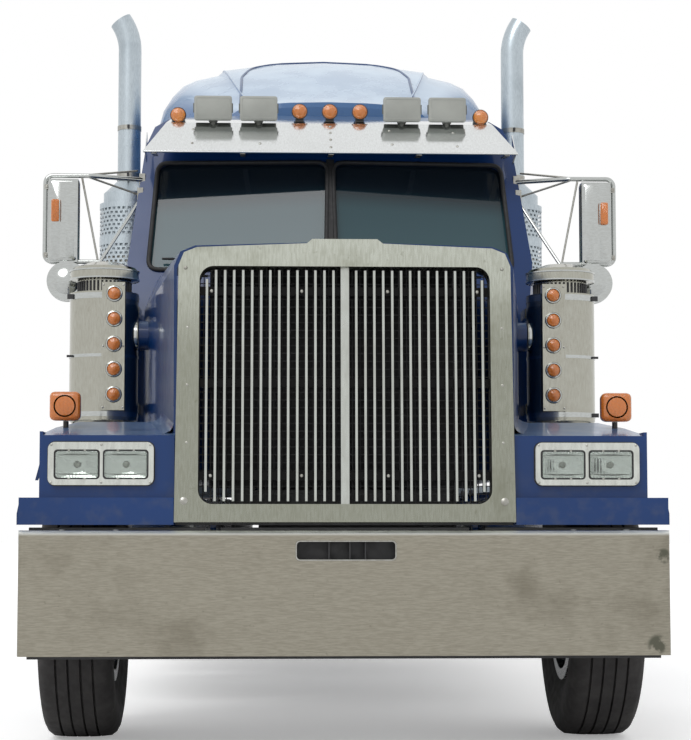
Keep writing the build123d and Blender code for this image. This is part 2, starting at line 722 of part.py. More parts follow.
# Sleeper walls
with BuildPart() as sleeper:
    slab((-SLEEPER_HALF, SLEEPER_HALF), (SLEEPER_FRONT_Y, SLEEPER_REAR_Y), (CAB_FLOOR, SLEEPER_TOP))
    fillet(sleeper.edges().filter_by(Axis.Z).group_by(Axis.Y)[-1], 90)
    slab(
        (-SLEEPER_HALF + SLEEPER_WALL, SLEEPER_HALF - SLEEPER_WALL),
        (SLEEPER_FRONT_Y + SLEEPER_WALL, SLEEPER_REAR_Y - SLEEPER_WALL),
        (CAB_FLOOR + SLEEPER_WALL, SLEEPER_TOP + 10),
        mode=Mode.SUBTRACT,
    )
    passage_y = (SLEEPER_FRONT_Y - 10, SLEEPER_FRONT_Y + 100)
    slab((-PASSAGE_HALF, PASSAGE_HALF), passage_y, PASSAGE_Z, mode=Mode.SUBTRACT)
    for mount_y in (3400, 4680):
        for x in (RAIL_OUTER_X - RAIL_FLANGE, -RAIL_OUTER_X):
            slab((x, x + RAIL_FLANGE), (mount_y, mount_y + 90), (RAIL_TOP, CAB_FLOOR))
write(sleeper.part, "sleeper_shell")


def cap_form(inset):
    """The raised roof cap's form: a crowned centre between lower shoulders, sloping down at the front."""
    with BuildPart() as form:
        prism(
            along(0),
            [
                (CAP_FRONT_Y + inset, SLEEPER_TOP), (CAP_FRONT_Y + inset, SLEEPER_TOP + 70 - inset),
                (2360 + inset, SLEEPER_TOP + 130 - inset), (3150, SLEEPER_TOP + 497 - inset),
                (3290, SLEEPER_TOP + 542 - inset), (3420, SLEEPER_TOP + 595 - inset),
                (SLEEPER_REAR_Y - inset, SLEEPER_TOP + 595 - inset), (SLEEPER_REAR_Y - inset, SLEEPER_TOP),
            ],
            SLEEPER_HALF + 50,
            both=True,
        )
        half = [
            (SLEEPER_HALF - inset, SLEEPER_TOP),
            (SLEEPER_HALF - inset, SLEEPER_TOP + 230),
            (SLEEPER_HALF - 20 - inset, SLEEPER_TOP + 284 - inset / 2),
            (SLEEPER_HALF - 69 - inset, SLEEPER_TOP + 363 - inset / 2),
            (SLEEPER_HALF - 128 - inset / 2, SLEEPER_TOP + 426 - inset),
            (SLEEPER_HALF - 198 - inset / 2, SLEEPER_TOP + 458 - inset),
            (SLEEPER_HALF - 322 - inset / 2, SLEEPER_TOP + 485 - inset),
            (SLEEPER_HALF - 356 - inset / 2, SLEEPER_TOP + 520 - inset),
            (263, SLEEPER_TOP + 557 - inset),
            (0, SLEEPER_TOP + 567 - inset),
        ]
        left = [(-x, z) for x, z in reversed(half[:-1])]
        prism(across(CAP_FRONT_Y - 50), half + left, -(SLEEPER_REAR_Y - CAP_FRONT_Y + 100), mode=Mode.INTERSECT)
        plan = [
            (470, CAP_FRONT_Y + inset), (690 - inset / 2, 2400 + inset / 2), (840 - inset, 2640),
            (SLEEPER_HALF - inset, 2950), (SLEEPER_HALF - inset, SLEEPER_REAR_Y - inset),
        ]
        mirrored = [(-x, y) for x, y in reversed(plan)]
        prism(level(SLEEPER_TOP - 20), plan + mirrored, 700, mode=Mode.INTERSECT)
    return form.part


cap_outer = cap_form(0)
cap_inner = cap_form(CAP_WALL)
with BuildPart() as cap:
    add(cap_outer)
    add(cap_inner, mode=Mode.SUBTRACT)
    add(cab_outer, mode=Mode.SUBTRACT)
    slab((-SLEEPER_HALF, SLEEPER_HALF), (CAP_FRONT_Y, SLEEPER_FRONT_Y), (SLEEPER_TOP - 130, SLEEPER_TOP + 12), mode=Mode.SUBTRACT)
write(cap.part, "roof_cap")

# Sun visor over the windshield
VISOR_LOW = (1822.0, 2618.0)
VISOR_HIGH = (2030.0, 2797.0)
VISOR_WALL = 6.0
with BuildPart() as visor:
    low_y, low_z = VISOR_LOW
    high_y, high_z = VISOR_HIGH
    prism(
        along(0),
        [
            (low_y, low_z), (high_y, high_z), (2110, high_z + 32), (2110, high_z + 25),
            (high_y + VISOR_WALL, high_z - VISOR_WALL), (low_y + VISOR_WALL, low_z - 4), (low_y + 2, low_z - 8),
        ],
        891,
        both=True,
    )
    slope = (891.0 - 793.0) / (high_z - low_z)
    spread = 891.0 + slope * 60
    trim = [(-spread, low_z - 60), (spread, low_z - 60), (793 - slope * 60, high_z + 60), (slope * 60 - 793, high_z + 60)]
    prism(across(1700), trim, -600, mode=Mode.INTERSECT)
    for side in (-1, 1):
        prism(
            along(side * 884),
            [(low_y + 3, low_z - 4), (low_y + 150, low_z + 118), (1960, low_z + 60), (1960, low_z - 30)],
            -side * 5,
        )
    add(cab_outer, mode=Mode.SUBTRACT)
write(visor.part, "sun_visor")

# Amber lamps: five on the roof and five on each lamp panel
ROOF_LAMPS = ((-737.0, 2838.0), (-147.0, 2860.0), (0.0, 2860.0), (147.0, 2860.0), (737.0, 2838.0))
ROOF_LAMP_Y = 2062.0
ROOF_LAMP_RADIUS = 37.0
with BuildPart() as amber_lamps:
    for x, z in ROOF_LAMPS:
        rod((x, ROOF_LAMP_Y - 12, z), (x, ROOF_LAMP_Y + 130, z), ROOF_LAMP_RADIUS)
    add(cab_outer, mode=Mode.SUBTRACT)
    add(visor.part, mode=Mode.SUBTRACT)
    for index in range(5):
        z = PANEL_LAMP_TOP - index * PANEL_LAMP_PITCH
        for side in (-1, 1):
            x = side * PANEL_LAMP_X
            rod((x, PANEL_Y - 18, z), (x, PANEL_Y, z), PANEL_LAMP_RADIUS)
write(amber_lamps.part, "amber_lamps")

# Four covered box lamps on feet above the visor
BOX_LAMPS_X = (-564.0, -345.0, 345.0, 564.0)
BOX_LAMP_SIZE = (180.0, 60.0, 118.0)
BOX_LAMP_Y = 1930.0
BOX_LAMP_Z = 2850.0
with BuildPart() as box_lamps:
    visor_rise = (high_z - low_z) / (high_y - low_y)
    foot = [
        (y, low_z + visor_rise * (y - low_y)) for y in (BOX_LAMP_Y - 15, BOX_LAMP_Y + 15)
    ]
    bottom = BOX_LAMP_Z - BOX_LAMP_SIZE[2] / 2
    for x in BOX_LAMPS_X:
        with Locations((x, BOX_LAMP_Y, BOX_LAMP_Z)):
            Box(*BOX_LAMP_SIZE)
        prism(along(x - 14), foot + [(BOX_LAMP_Y + 15, bottom), (BOX_LAMP_Y - 15, bottom)], 28)
write(box_lamps.part, "roof_box_lamps")

# Dashboard and steering wheel
DASH_Y = CAB_FRONT_Y + CAB_WALL
DASH_HALF = 840.0
with BuildPart() as dash:
    prism(
        along(0),
        [(DASH_Y, 1500), (2080, 1500), (2120, 1850), (2010, 1975), (1930, 1975), (1880, 1880), (DASH_Y, 1700)],
        DASH_HALF,
        both=True,
    )
    add(cab_inner, mode=Mode.INTERSECT)
    rod((450, 2060, 1700), (450, 2330, 1890), 28)
    wheel_plane = Plane(origin=(450, 2330, 1890), z_dir=(0, 270, 190))
    with BuildSketch(wheel_plane):
        Circle(228)
        Circle(200, mode=Mode.SUBTRACT)
        Rectangle(410, 34)
        Circle(52)
    extrude(amount=24, both=True)
write(dash.part, "dashboard")

# Two seats on pedestals
with BuildPart() as seats:
    for x in (-450, 450):
        slab((x - 180, x + 180), (2480, 2860), (CAB_FLOOR + CAB_WALL, 1480))
        slab((x - 260, x + 260), (2420, 2960), (1480, 1620))
        prism(along(x - 250), [(2820, 1620), (2960, 1620), (3090, 2450), (2990, 2450)], 500)
write(seats.part, "seats")

# Sleeper bunk
with BuildPart() as bunk:
    slab(
        (-SLEEPER_HALF + SLEEPER_WALL, SLEEPER_HALF - SLEEPER_WALL),
        (SLEEPER_REAR_Y - SLEEPER_WALL - 900, SLEEPER_REAR_Y - SLEEPER_WALL),
        (CAB_FLOOR + SLEEPER_WALL, 1720),
    )
write(bunk.part, "bunk")


# Exhaust stacks: support beam, muffler and a pipe with its tip turned out
with BuildPart() as stacks:
    slab((RAIL_OUTER_X - RAIL_FLANGE, STACK_X + 70), (STACK_Y - 35, STACK_Y + 35), (RAIL_TOP, RAIL_TOP + 60))
    with BuildSketch(Plane(origin=(STACK_X, STACK_Y, 0), x_dir=(1, 0, 0), z_dir=(0, -1, 0))):
        with BuildLine():
            Polyline(
                (0, RAIL_TOP + 60), (PIPE_RADIUS, RAIL_TOP + 60), (PIPE_RADIUS, MUFFLER_Z[0] - 60),
                (MUFFLER_RADIUS, MUFFLER_Z[0]), (MUFFLER_RADIUS, MUFFLER_Z[1]), (PIPE_RADIUS, CONE_TOP),
                (PIPE_RADIUS, TIP_BEND_Z), (0, TIP_BEND_Z), close=True,
            )
        make_face()
    revolve(axis=Axis((STACK_X, STACK_Y, 0), (0, 0, 1)))
    with BuildSketch(level(TIP_BEND_Z)):
        with Locations((STACK_X, STACK_Y)):
            Circle(PIPE_RADIUS)
    tip_axis = Axis((STACK_X + TIP_BEND_RADIUS, STACK_Y, TIP_BEND_Z), (0, 1, 0))
    revolve(axis=tip_axis, revolution_arc=TIP_ANGLE)
    mirror(about=Plane.YZ)
write(stacks.part, "exhaust_stacks")

with BuildPart() as guards:
    with BuildSketch(level(GUARD_Z[0])):
        with Locations((STACK_X, STACK_Y)):
            Circle(GUARD_RADIUS)
            Circle(GUARD_RADIUS - GUARD_WALL, mode=Mode.SUBTRACT)
    extrude(amount=GUARD_Z[1] - GUARD_Z[0])
    for z in (GUARD_Z[0], GUARD_Z[1] - 24):
        with BuildSketch(level(z)):
            with Locations((STACK_X, STACK_Y)):
                Circle(GUARD_RADIUS)
                Circle(MUFFLER_RADIUS + SEAT_GAP, mode=Mode.SUBTRACT)
        extrude(amount=24)
    mirror(about=Plane.YZ)
write(guards.part, "muffler_guards")

# Air cleaners beside the hood, bracketed to the cowl
with BuildPart() as cleaners:
    with BuildSketch(Plane(origin=(CLEANER_X, CLEANER_Y, 0), x_dir=(1, 0, 0), z_dir=(0, -1, 0))):
        with BuildLine():
            Polyline(
                (0, CLEANER_BOTTOM), (CLEANER_RADIUS - 30, CLEANER_BOTTOM), (CLEANER_RADIUS, CLEANER_BOTTOM + 30),
                (CLEANER_RADIUS, 1895), (NECK_RADIUS, 1895), (NECK_RADIUS, 1950), (CLEANER_RADIUS, 1956),
                (CLEANER_RADIUS, 1996), (CLEANER_RADIUS - 14, 2012), (70, 2036), (0, 2039), close=True,
            )
        make_face()
    revolve(axis=Axis((CLEANER_X, CLEANER_Y, 0), (0, 0, 1)))
    rod((DUCT_X[1], CLEANER_Y, DUCT_Z), (CLEANER_X, CLEANER_Y, DUCT_Z), DUCT_RADIUS)
    for z in (1360, 1800):
        slab((COWL_HALF - 27, COWL_HALF - 2), (1560, CAB_FRONT_Y), (z, z + 45))
    mirror(about=Plane.YZ)
write(cleaners.part, "air_cleaners")

with BuildPart() as panels:
    slab(PANEL_X, (PANEL_Y, 1400), PANEL_Z)
    rod(
        (CLEANER_X, CLEANER_Y, PANEL_Z[0] - 10), (CLEANER_X, CLEANER_Y, PANEL_Z[1] + 10),
        CLEANER_RADIUS + SEAT_GAP, mode=Mode.SUBTRACT,
    )
    mirror(about=Plane.YZ)
write(panels.part, "lamp_panels")

# Mirrors on tube frames from the windshield pillars
MIRROR_Y = 1850.0
MIRROR_TUBE = 11.0
LOOP_X = 1350.0
LOOP_Z = (2090.0, 2500.0)
HEAD_X = (1194.0, 1333.0)
HEAD_Z = (2100.0, 2474.0)
CONVEX = (1243.0, 1996.0)
CONVEX_RADIUS = 93.0
with BuildPart() as mirrors:
    with BuildLine():
        route = FilletPolyline(
            (CAB_HALF - 74, 2037, 2515), (1135, MIRROR_Y, LOOP_Z[1]), (LOOP_X, MIRROR_Y, LOOP_Z[1]),
            (LOOP_X, MIRROR_Y, LOOP_Z[0]), (1090, MIRROR_Y, LOOP_Z[0]), radius=35,
        )
    with BuildSketch(Plane(origin=route @ 0, z_dir=route % 0)):
        Circle(MIRROR_TUBE)
    sweep(path=route)
    rod((CAB_HALF - 64, 2018, 2440), (1090, MIRROR_Y, LOOP_Z[0]), 8)
    slab(HEAD_X, (MIRROR_Y - 30, MIRROR_Y + 40), (LOOP_Z[0] - 5, LOOP_Z[1] - 20))
    rod((CONVEX[0], MIRROR_Y, CONVEX[1]), (CONVEX[0], MIRROR_Y, LOOP_Z[0]), 9)
    rod((CONVEX[0], MIRROR_Y - 35, CONVEX[1]), (CONVEX[0], MIRROR_Y + 15, CONVEX[1]), CONVEX_RADIUS)
    add(cab_outer, mode=Mode.SUBTRACT)
    mirror(about=Plane.YZ)
write(mirrors.part, "mirrors")


# Grille: a leaning surround, its upright bars and three straps
grille_plane = Plane(
    origin=(0, LIP_Y, HOOD_BOTTOM),
    x_dir=(1, 0, 0),
    z_dir=(0, -cos(radians(LEAN)), sin(radians(LEAN))),
)


def shell_outline():
    """The surround's outer outline from the bottom left corner round to the right one."""
    half = [
        (SHELL_BOTTOM_HALF, 0), (SHELL_TOP_HALF, SHELL_SHOULDER - SHELL_CORNER),
        (SHELL_TOP_HALF - 20, SHELL_SHOULDER - 20), (SHELL_TOP_HALF - SHELL_CORNER, SHELL_SHOULDER),
        (TAB_HALF[1], TAB_STEP), (TAB_HALF[0], TAB_TOP),
    ]
    return half + [(-x, y) for x, y in reversed(half)]


with BuildPart() as surround:
    prism(grille_plane, shell_outline(), -SHELL_DEPTH)
    prism(
        grille_plane,
        [(-GRILLE_HALF, GRILLE_LOW), (GRILLE_HALF, GRILLE_LOW), (GRILLE_HALF, GRILLE_HIGH), (-GRILLE_HALF, GRILLE_HIGH)],
        -2 * SHELL_DEPTH,
        corner=GRILLE_CORNER,
        mode=Mode.SUBTRACT,
    )
write(surround.part, "grille_surround")

with BuildPart() as bars:
    with BuildSketch(grille_plane.offset(-BAR_SET_BACK)):
        for side in (-1, 1):
            for index in range(BAR_COUNT):
                x = side * (BAR_FIRST + index * BAR_PITCH)
                end_gap = 48 if index == BAR_COUNT - 1 else BAR_END_GAP
                low_end, high_end = GRILLE_LOW + end_gap, GRILLE_HIGH - end_gap
                with Locations((x, (low_end + high_end) / 2)):
                    Rectangle(BAR_WIDTH, high_end - low_end)
        with Locations((0, (GRILLE_LOW + GRILLE_HIGH) / 2)):
            Rectangle(CENTRE_BAR_WIDTH, GRILLE_HIGH - GRILLE_LOW - 2 * SEAT_GAP)
    extrude(amount=-BAR_DEPTH)
    with BuildSketch(grille_plane.offset(-BAR_SET_BACK - BAR_DEPTH)):
        for up in STRAPS_UP:
            with Locations((0, up)):
                Rectangle(2 * (GRILLE_HALF - SEAT_GAP), STRAP_HEIGHT)
    extrude(amount=-STRAP_DEPTH)
write(bars.part, "grille_bars")


def hood_form(inset):
    """The hood's long tapering form, open at the bottom."""
    with BuildPart() as form:
        for y, half_width, top, radius in (
            (LIP_Y, HOOD_FRONT_HALF, HOOD_FRONT_TOP, 70.0),
            (HOOD_REAR_Y, HOOD_REAR_HALF, HOOD_REAR_TOP, 190.0),
        ):
            side_x, crown = half_width - inset, top - inset
            chamfer_leg = radius * 0.3
            half = [
                (side_x, HOOD_BOTTOM - 200), (side_x, crown - radius), (side_x - chamfer_leg, crown - chamfer_leg),
                (side_x - radius, crown), (0, crown + 18),
            ]
            with BuildSketch(across(y)):
                with BuildLine():
                    Polyline(*half, *[(-x, z) for x, z in reversed(half[:-1])], close=True)
                make_face()
        loft(ruled=True)
        split(bisect_by=grille_plane.offset(-SHELL_DEPTH), keep=Keep.BOTTOM)
    return form.part


def fender_form(inset):
    """The left fender's form behind the nose: crowned top, flank that flares out downwards."""
    with BuildPart() as form:
        prism(
            along(FENDER_INNER - 60),
            [
                (NOSE_Y + inset, LIP_BOTTOM - 10), (NOSE_Y + inset, FENDER_FRONT_TOP - inset),
                (700, FENDER_PEAK - inset), (1000, FENDER_PEAK - 14 - inset), (1200, FENDER_PEAK - 70 - inset),
                (FENDER_END_Y - 25 - inset, FENDER_PEAK - 190), (FENDER_END_Y + 40 - inset, 950),
                (FENDER_END_Y + 72 - inset, 700), (700, 640),
            ],
            LIP_HALF - FENDER_INNER + 100,
        )
        prism(
            across(0),
            [
                (FENDER_INNER - 60, 500), (LIP_HALF + 12 - inset, 500), (LIP_HALF + 12 - inset, 900),
                (LIP_HALF - 6 - inset, 990), (1178 - inset, 1150), (1130 - inset, 1240 - inset),
                (1060, FENDER_PEAK + 4 - inset), (FENDER_INNER - 60, FENDER_PEAK + 20 - inset),
            ],
            -2000,
            mode=Mode.INTERSECT,
        )
    return form.part


hood_outer = hood_form(0)
hood_inner = hood_form(HOOD_WALL)
fender_outer = fender_form(0)
fender_inner = fender_form(HOOD_WALL)
with BuildPart() as fender:
    add(fender_outer)
    slab((NOSE_HALF, LIP_HALF + 60), (0, 420), (LIP_TOP, 1400), mode=Mode.SUBTRACT)
    slab((0, FENDER_INNER), (0, 175), (0, 2000), mode=Mode.SUBTRACT)
    slab((FENDER_INNER, LIP_HALF), (LIP_Y, 420), (LIP_BOTTOM, LIP_TOP))
    add(fender_inner, mode=Mode.SUBTRACT)
    slab((FENDER_INNER - 20, NOSE_HALF - HOOD_WALL), (NOSE_Y + HOOD_WALL, 420), (LIP_TOP - 200, 1050), mode=Mode.SUBTRACT)
    slab((NOSE_HALF - HOOD_WALL, NOSE_HALF), (NOSE_Y, 420), (LIP_TOP - 20, 1210))
    slab(
        (FENDER_INNER - 10, LIP_HALF - HOOD_WALL), (LIP_Y + HOOD_WALL, 500), (LIP_BOTTOM - 10, LIP_TOP - HOOD_WALL),
        mode=Mode.SUBTRACT,
    )
with BuildPart() as hood:
    add(fender.part)
    rod((826, CLEANER_Y, DUCT_Z), (DUCT_X[0], CLEANER_Y, DUCT_Z), DUCT_RADIUS)
    mirror(about=Plane.YZ)
    add(hood_outer)
    add(hood_inner, mode=Mode.SUBTRACT)
    rod((-1400, STEER_AXLE_Y, TYRE_RADIUS), (1400, STEER_AXLE_Y, TYRE_RADIUS), ARCH_RADIUS, mode=Mode.SUBTRACT)
    slab((-1400, 1400), (-100, 2000), (0, LIP_BOTTOM), mode=Mode.SUBTRACT)
    slab((-1400, 1400), (1450, 2000), (0, HOOD_REAR_BOTTOM), mode=Mode.SUBTRACT)
    slab((-HOOD_FRONT_HALF - 10, HOOD_FRONT_HALF + 10), CROSSBAR_Y, (HOOD_BOTTOM, HOOD_BOTTOM + 62))
    for x in (ARM_X[0], -ARM_X[1]):
        low_ring, high_ring = ARM_RING
        low_angle, high_angle = (radians(a) for a in ARM_ANGLES)
        with BuildSketch(along(x)) as arm:
            with BuildLine():
                inside = CenterArc((PIVOT_Y, PIVOT_Z), low_ring, ARM_ANGLES[0], ARM_ANGLES[1] - ARM_ANGLES[0])
                outside = CenterArc((PIVOT_Y, PIVOT_Z), high_ring, ARM_ANGLES[0], ARM_ANGLES[1] - ARM_ANGLES[0])
                Line(inside @ 0, outside @ 0)
                Line(inside @ 1, outside @ 1)
            make_face()
            with BuildLine():
                across_leg = Vector(-sin(low_angle), cos(low_angle)) * 18
                reach = Vector(cos(low_angle), sin(low_angle)) * (high_ring - 2)
                centre = Vector(PIVOT_Y, PIVOT_Z)
                Polyline(
                    centre - across_leg, centre + reach - across_leg,
                    centre + reach + across_leg, centre + across_leg, close=True,
                )
            make_face()
            with Locations((PIVOT_Y, PIVOT_Z)):
                Circle(32)
                Circle(PIVOT_RADIUS + RUNNING_GAP, mode=Mode.SUBTRACT)
        extrude(amount=ARM_X[1] - ARM_X[0])
        slab((x, x + ARM_X[1] - ARM_X[0]), CROSSBAR_Y, (HOOD_BOTTOM - 22, HOOD_BOTTOM))
write(hood.part, "hood")

# Headlamps: bezels and sealed lenses on the nose
with BuildPart() as bezels:
    corners = [(x, z) for x, z in zip((BEZEL_X[0], BEZEL_X[1], BEZEL_X[1], BEZEL_X[0]), (BEZEL_Z[0],) * 2 + (BEZEL_Z[1],) * 2)]
    prism(across(NOSE_Y), corners, BEZEL_DEPTH, corner=BEZEL_CORNER)
    for x0, x1 in LENSES_X:
        prism(
            across(NOSE_Y), [(x0, LENS_Z[0]), (x1, LENS_Z[0]), (x1, LENS_Z[1]), (x0, LENS_Z[1])],
            BEZEL_DEPTH, corner=LENS_CORNER, mode=Mode.SUBTRACT,
        )
    mirror(about=Plane.YZ)
write(bezels.part, "headlamp_bezels")

with BuildPart() as lenses:
    for x0, x1 in LENSES_X:
        g = SEAT_GAP
        prism(
            across(NOSE_Y), [(x0 + g, LENS_Z[0] + g), (x1 - g, LENS_Z[0] + g), (x1 - g, LENS_Z[1] - g), (x0 + g, LENS_Z[1] - g)],
            LENS_DEPTH, corner=LENS_CORNER,
        )
    mirror(about=Plane.YZ)
write(lenses.part, "headlamp_lenses")

with BuildPart() as turn_lamps:
    slab(TURN_X, TURN_Y, TURN_Z)
    middle_x, middle_y = sum(TURN_X) / 2, sum(TURN_Y) / 2
    rod((middle_x, middle_y, 1200), (middle_x, middle_y, TURN_Z[0]), TURN_POST_RADIUS)
    add(fender_outer, mode=Mode.SUBTRACT)
    mirror(about=Plane.YZ)
write(turn_lamps.part, "turn_lamps")


# Steering knuckles and the tie rod
YOKE_X = (985.0, 1012.0)
ARM_Z = (405.0, 435.0)
with BuildPart() as knuckle:
    for low_z, high_z in ((394.0, 450.0), (595.0, 650.0)):
        rod((KINGPIN_X, STEER_AXLE_Y, low_z), (KINGPIN_X, STEER_AXLE_Y, high_z), 44)
        slab((KINGPIN_X, YOKE_X[1]), (STEER_AXLE_Y - 44, STEER_AXLE_Y + 44), (low_z, high_z))
    slab(YOKE_X, (STEER_AXLE_Y - 60, STEER_AXLE_Y + 60), (394, 650))
    rod((YOKE_X[0], STEER_AXLE_Y, TYRE_RADIUS), (SPINDLE_END, STEER_AXLE_Y, TYRE_RADIUS), SPINDLE_RADIUS)
    prism(
        level(ARM_Z[0]),
        [
            (KINGPIN_X + 30, STEER_AXLE_Y + 10), (KINGPIN_X + 26, TIE_ROD_Y), (KINGPIN_X - 26, TIE_ROD_Y),
            (KINGPIN_X - 30, STEER_AXLE_Y + 10),
        ],
        ARM_Z[1] - ARM_Z[0],
    )
    rod((KINGPIN_X, TIE_ROD_Y, ARM_Z[0]), (KINGPIN_X, TIE_ROD_Y, ARM_Z[1]), 28)
    rod((KINGPIN_X, STEER_AXLE_Y, 380), (KINGPIN_X, STEER_AXLE_Y, 660), KINGPIN_RADIUS + RUNNING_GAP, mode=Mode.SUBTRACT)
    rod(
        (KINGPIN_X, TIE_ROD_Y, ARM_Z[0] - 5), (KINGPIN_X, TIE_ROD_Y, ARM_Z[1] + 5),
        STUD_RADIUS + RUNNING_GAP, mode=Mode.SUBTRACT,
    )
write_pair(knuckle.part, "knuckle")

TIE_ROD_Z = 370.0
with BuildPart() as tie_rod:
    rod((-KINGPIN_X, TIE_ROD_Y, TIE_ROD_Z), (KINGPIN_X, TIE_ROD_Y, TIE_ROD_Z), 22)
    for side in (-1, 1):
        x = side * KINGPIN_X
        rod((x, TIE_ROD_Y, TIE_ROD_Z - 28), (x, TIE_ROD_Y, ARM_Z[0] - 5), 30)
        rod((x, TIE_ROD_Y, TIE_ROD_Z), (x, TIE_ROD_Y, ARM_Z[1]), STUD_RADIUS)
write(tie_rod.part, "tie_rod")


# Wheels
def tyre(x, y):
    """One tyre at a place across and along the truck."""
    half = [(BEAD_RADIUS, 102), (340, 128), (405, 142), (465, 145), (503, 132), (TYRE_RADIUS, 112)]
    profile = half + [(radius, -offset_x) for radius, offset_x in reversed(half)]
    with BuildSketch(Plane(origin=(x, y, TYRE_RADIUS), x_dir=(0, 0, 1), z_dir=(0, -1, 0))) as section:
        with BuildLine():
            Polyline(*profile, close=True)
        make_face()
    revolve(section.sketch, axis=Axis((x, y, TYRE_RADIUS), (1, 0, 0)))


def rim(x, y, disc, side):
    """One rim: barrel and dished disc; disc is how far the disc stands from the centre, outboard for side 1."""
    bore = SPINDLE_RADIUS + RUNNING_GAP
    profile = [
        (BEAD_RADIUS, -112), (BEAD_RADIUS, 112), (300, 112), (300, 122), (262, 122), (262, disc + 14),
        (170, disc + DISC_WALL), (bore, disc + DISC_WALL), (bore, disc), (160, disc), (256, disc - 14), (256, -122),
        (300, -122), (300, -112),
    ]
    with BuildSketch(Plane(origin=(x, y, TYRE_RADIUS), x_dir=(0, 0, 1), z_dir=(0, side, 0))) as section:
        with BuildLine():
            Polyline(*profile, close=True)
        make_face()
    revolve(section.sketch, axis=Axis((x, y, TYRE_RADIUS), (1, 0, 0)))


with BuildPart() as steer_tyre:
    tyre(STEER_TRACK_HALF, STEER_AXLE_Y)
write_pair(steer_tyre.part, "steer_tyre")

def hub(y, start, end, drum_end, bore_end):
    """The hub that carries the rims, with its brake drum, bored for the spindle."""
    rod((start, y, TYRE_RADIUS), (drum_end, y, TYRE_RADIUS), DRUM_RADIUS)
    rod((start, y, TYRE_RADIUS), (end, y, TYRE_RADIUS), HUB_RADIUS)
    rod((end, y, TYRE_RADIUS), (end + 40, y, TYRE_RADIUS), HUB_RADIUS - 35)
    bore = SPINDLE_RADIUS + RUNNING_GAP
    rod((start, y, TYRE_RADIUS), (bore_end, y, TYRE_RADIUS), bore, mode=Mode.SUBTRACT)


with BuildPart() as steer_rim:
    rim(STEER_TRACK_HALF, STEER_AXLE_Y, 40, 1)
    hub(STEER_AXLE_Y, YOKE_X[1] + 8, 1140, 1075, SPINDLE_END + 2)
write_pair(steer_rim.part, "steer_rim")

for axle, axle_y in zip(("front", "rear"), DRIVE_AXLES_Y):
    with BuildPart() as dual_tyres:
        for x in (DUAL_CENTRE_HALF - DUAL_SPACING / 2, DUAL_CENTRE_HALF + DUAL_SPACING / 2):
            tyre(x, axle_y)
    write_pair(dual_tyres.part, f"{axle}_drive_tyres")
    with BuildPart() as dual_rims:
        rim(DUAL_CENTRE_HALF - DUAL_SPACING / 2, axle_y, DUAL_SPACING / 2 - DISC_WALL, 1)
        rim(DUAL_CENTRE_HALF + DUAL_SPACING / 2, axle_y, DUAL_SPACING / 2 - DISC_WALL, -1)
        hub(axle_y, HOUSING_HALF + 6, 1160, DUAL_CENTRE_HALF - DISC_WALL, SPINDLE_REACH + 2)
    write_pair(dual_rims.part, f"{axle}_drive_rims")
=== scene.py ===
"""Dresses a packed truck tractor: finishes, tyres, lamps, grille trim, mirrors, stacks and its studio."""

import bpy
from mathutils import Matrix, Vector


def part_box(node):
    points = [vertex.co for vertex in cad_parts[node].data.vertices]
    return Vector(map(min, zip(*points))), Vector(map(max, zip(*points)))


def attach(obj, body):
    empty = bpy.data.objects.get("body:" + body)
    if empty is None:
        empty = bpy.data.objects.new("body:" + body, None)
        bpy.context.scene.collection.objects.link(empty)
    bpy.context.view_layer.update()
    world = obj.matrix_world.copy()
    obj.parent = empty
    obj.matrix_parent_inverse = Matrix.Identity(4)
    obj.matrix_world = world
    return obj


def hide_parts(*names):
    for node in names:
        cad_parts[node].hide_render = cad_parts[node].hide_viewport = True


bl_info = {
    "name": "Truck Tractor Dresser",
    "version": (1, 0, 0),
    "blender": (4, 5, 0),
    "location": "View3D > Sidebar > Truck",
    "description": "Adds finishes, tyres, lamps and trim to a long-nose truck tractor",
    "category": "Object",
}

from math import atan2, cos, pi, radians, sin, tan

import bmesh
import bpy
from bpy.props import FloatProperty, FloatVectorProperty, IntProperty, PointerProperty
from mathutils import Vector

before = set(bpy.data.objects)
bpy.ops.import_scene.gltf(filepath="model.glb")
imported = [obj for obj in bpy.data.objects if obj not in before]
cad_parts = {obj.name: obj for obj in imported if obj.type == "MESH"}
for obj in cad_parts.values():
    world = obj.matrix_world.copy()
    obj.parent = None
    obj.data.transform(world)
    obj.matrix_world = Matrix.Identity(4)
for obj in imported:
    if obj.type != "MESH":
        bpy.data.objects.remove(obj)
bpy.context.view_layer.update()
BUMPER_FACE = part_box("front_bumper")[0].y
FINISHES = {}
WHITE = (1.0, 1.0, 1.0, 1.0)

# Directions and places in millimetres: X across, Y back from the bumper's face, Z up from the ground

FORWARD, BACK = (0, -1, 0), (0, 1, 0)
UP, DOWN, LEFT = (0, 0, 1), (0, 0, -1), (1, 0, 0)
LEAN = atan2(60.0, 1084.0)
GRILLE_BASE = Vector((0, 60, 868))
GRILLE_UP = Vector((0, sin(LEAN), cos(LEAN)))
GRILLE_IN = Vector((0, cos(LEAN), -sin(LEAN)))
VISOR_OUT = Vector((0, -179, 208)).normalized()
STACK = (1084, 3550)
CLEANER = (1037, 1500)
MIRROR_BOWL = (1243, 1866, 1996)
TANK = (790, 690)
FIFTH_WHEEL = (6550, 1230)
CAB_SIDE, SLEEPER_SIDE, SLEEPER_BACK, TOOL_BOX_SIDE = 964, 904, 4859, 1089


def place(point):
    """A point of the truck in millimetres, moved into the frame's metres."""
    return Vector((point[0] / 1000, point[1] / 1000 + BUMPER_FACE, point[2] / 1000))


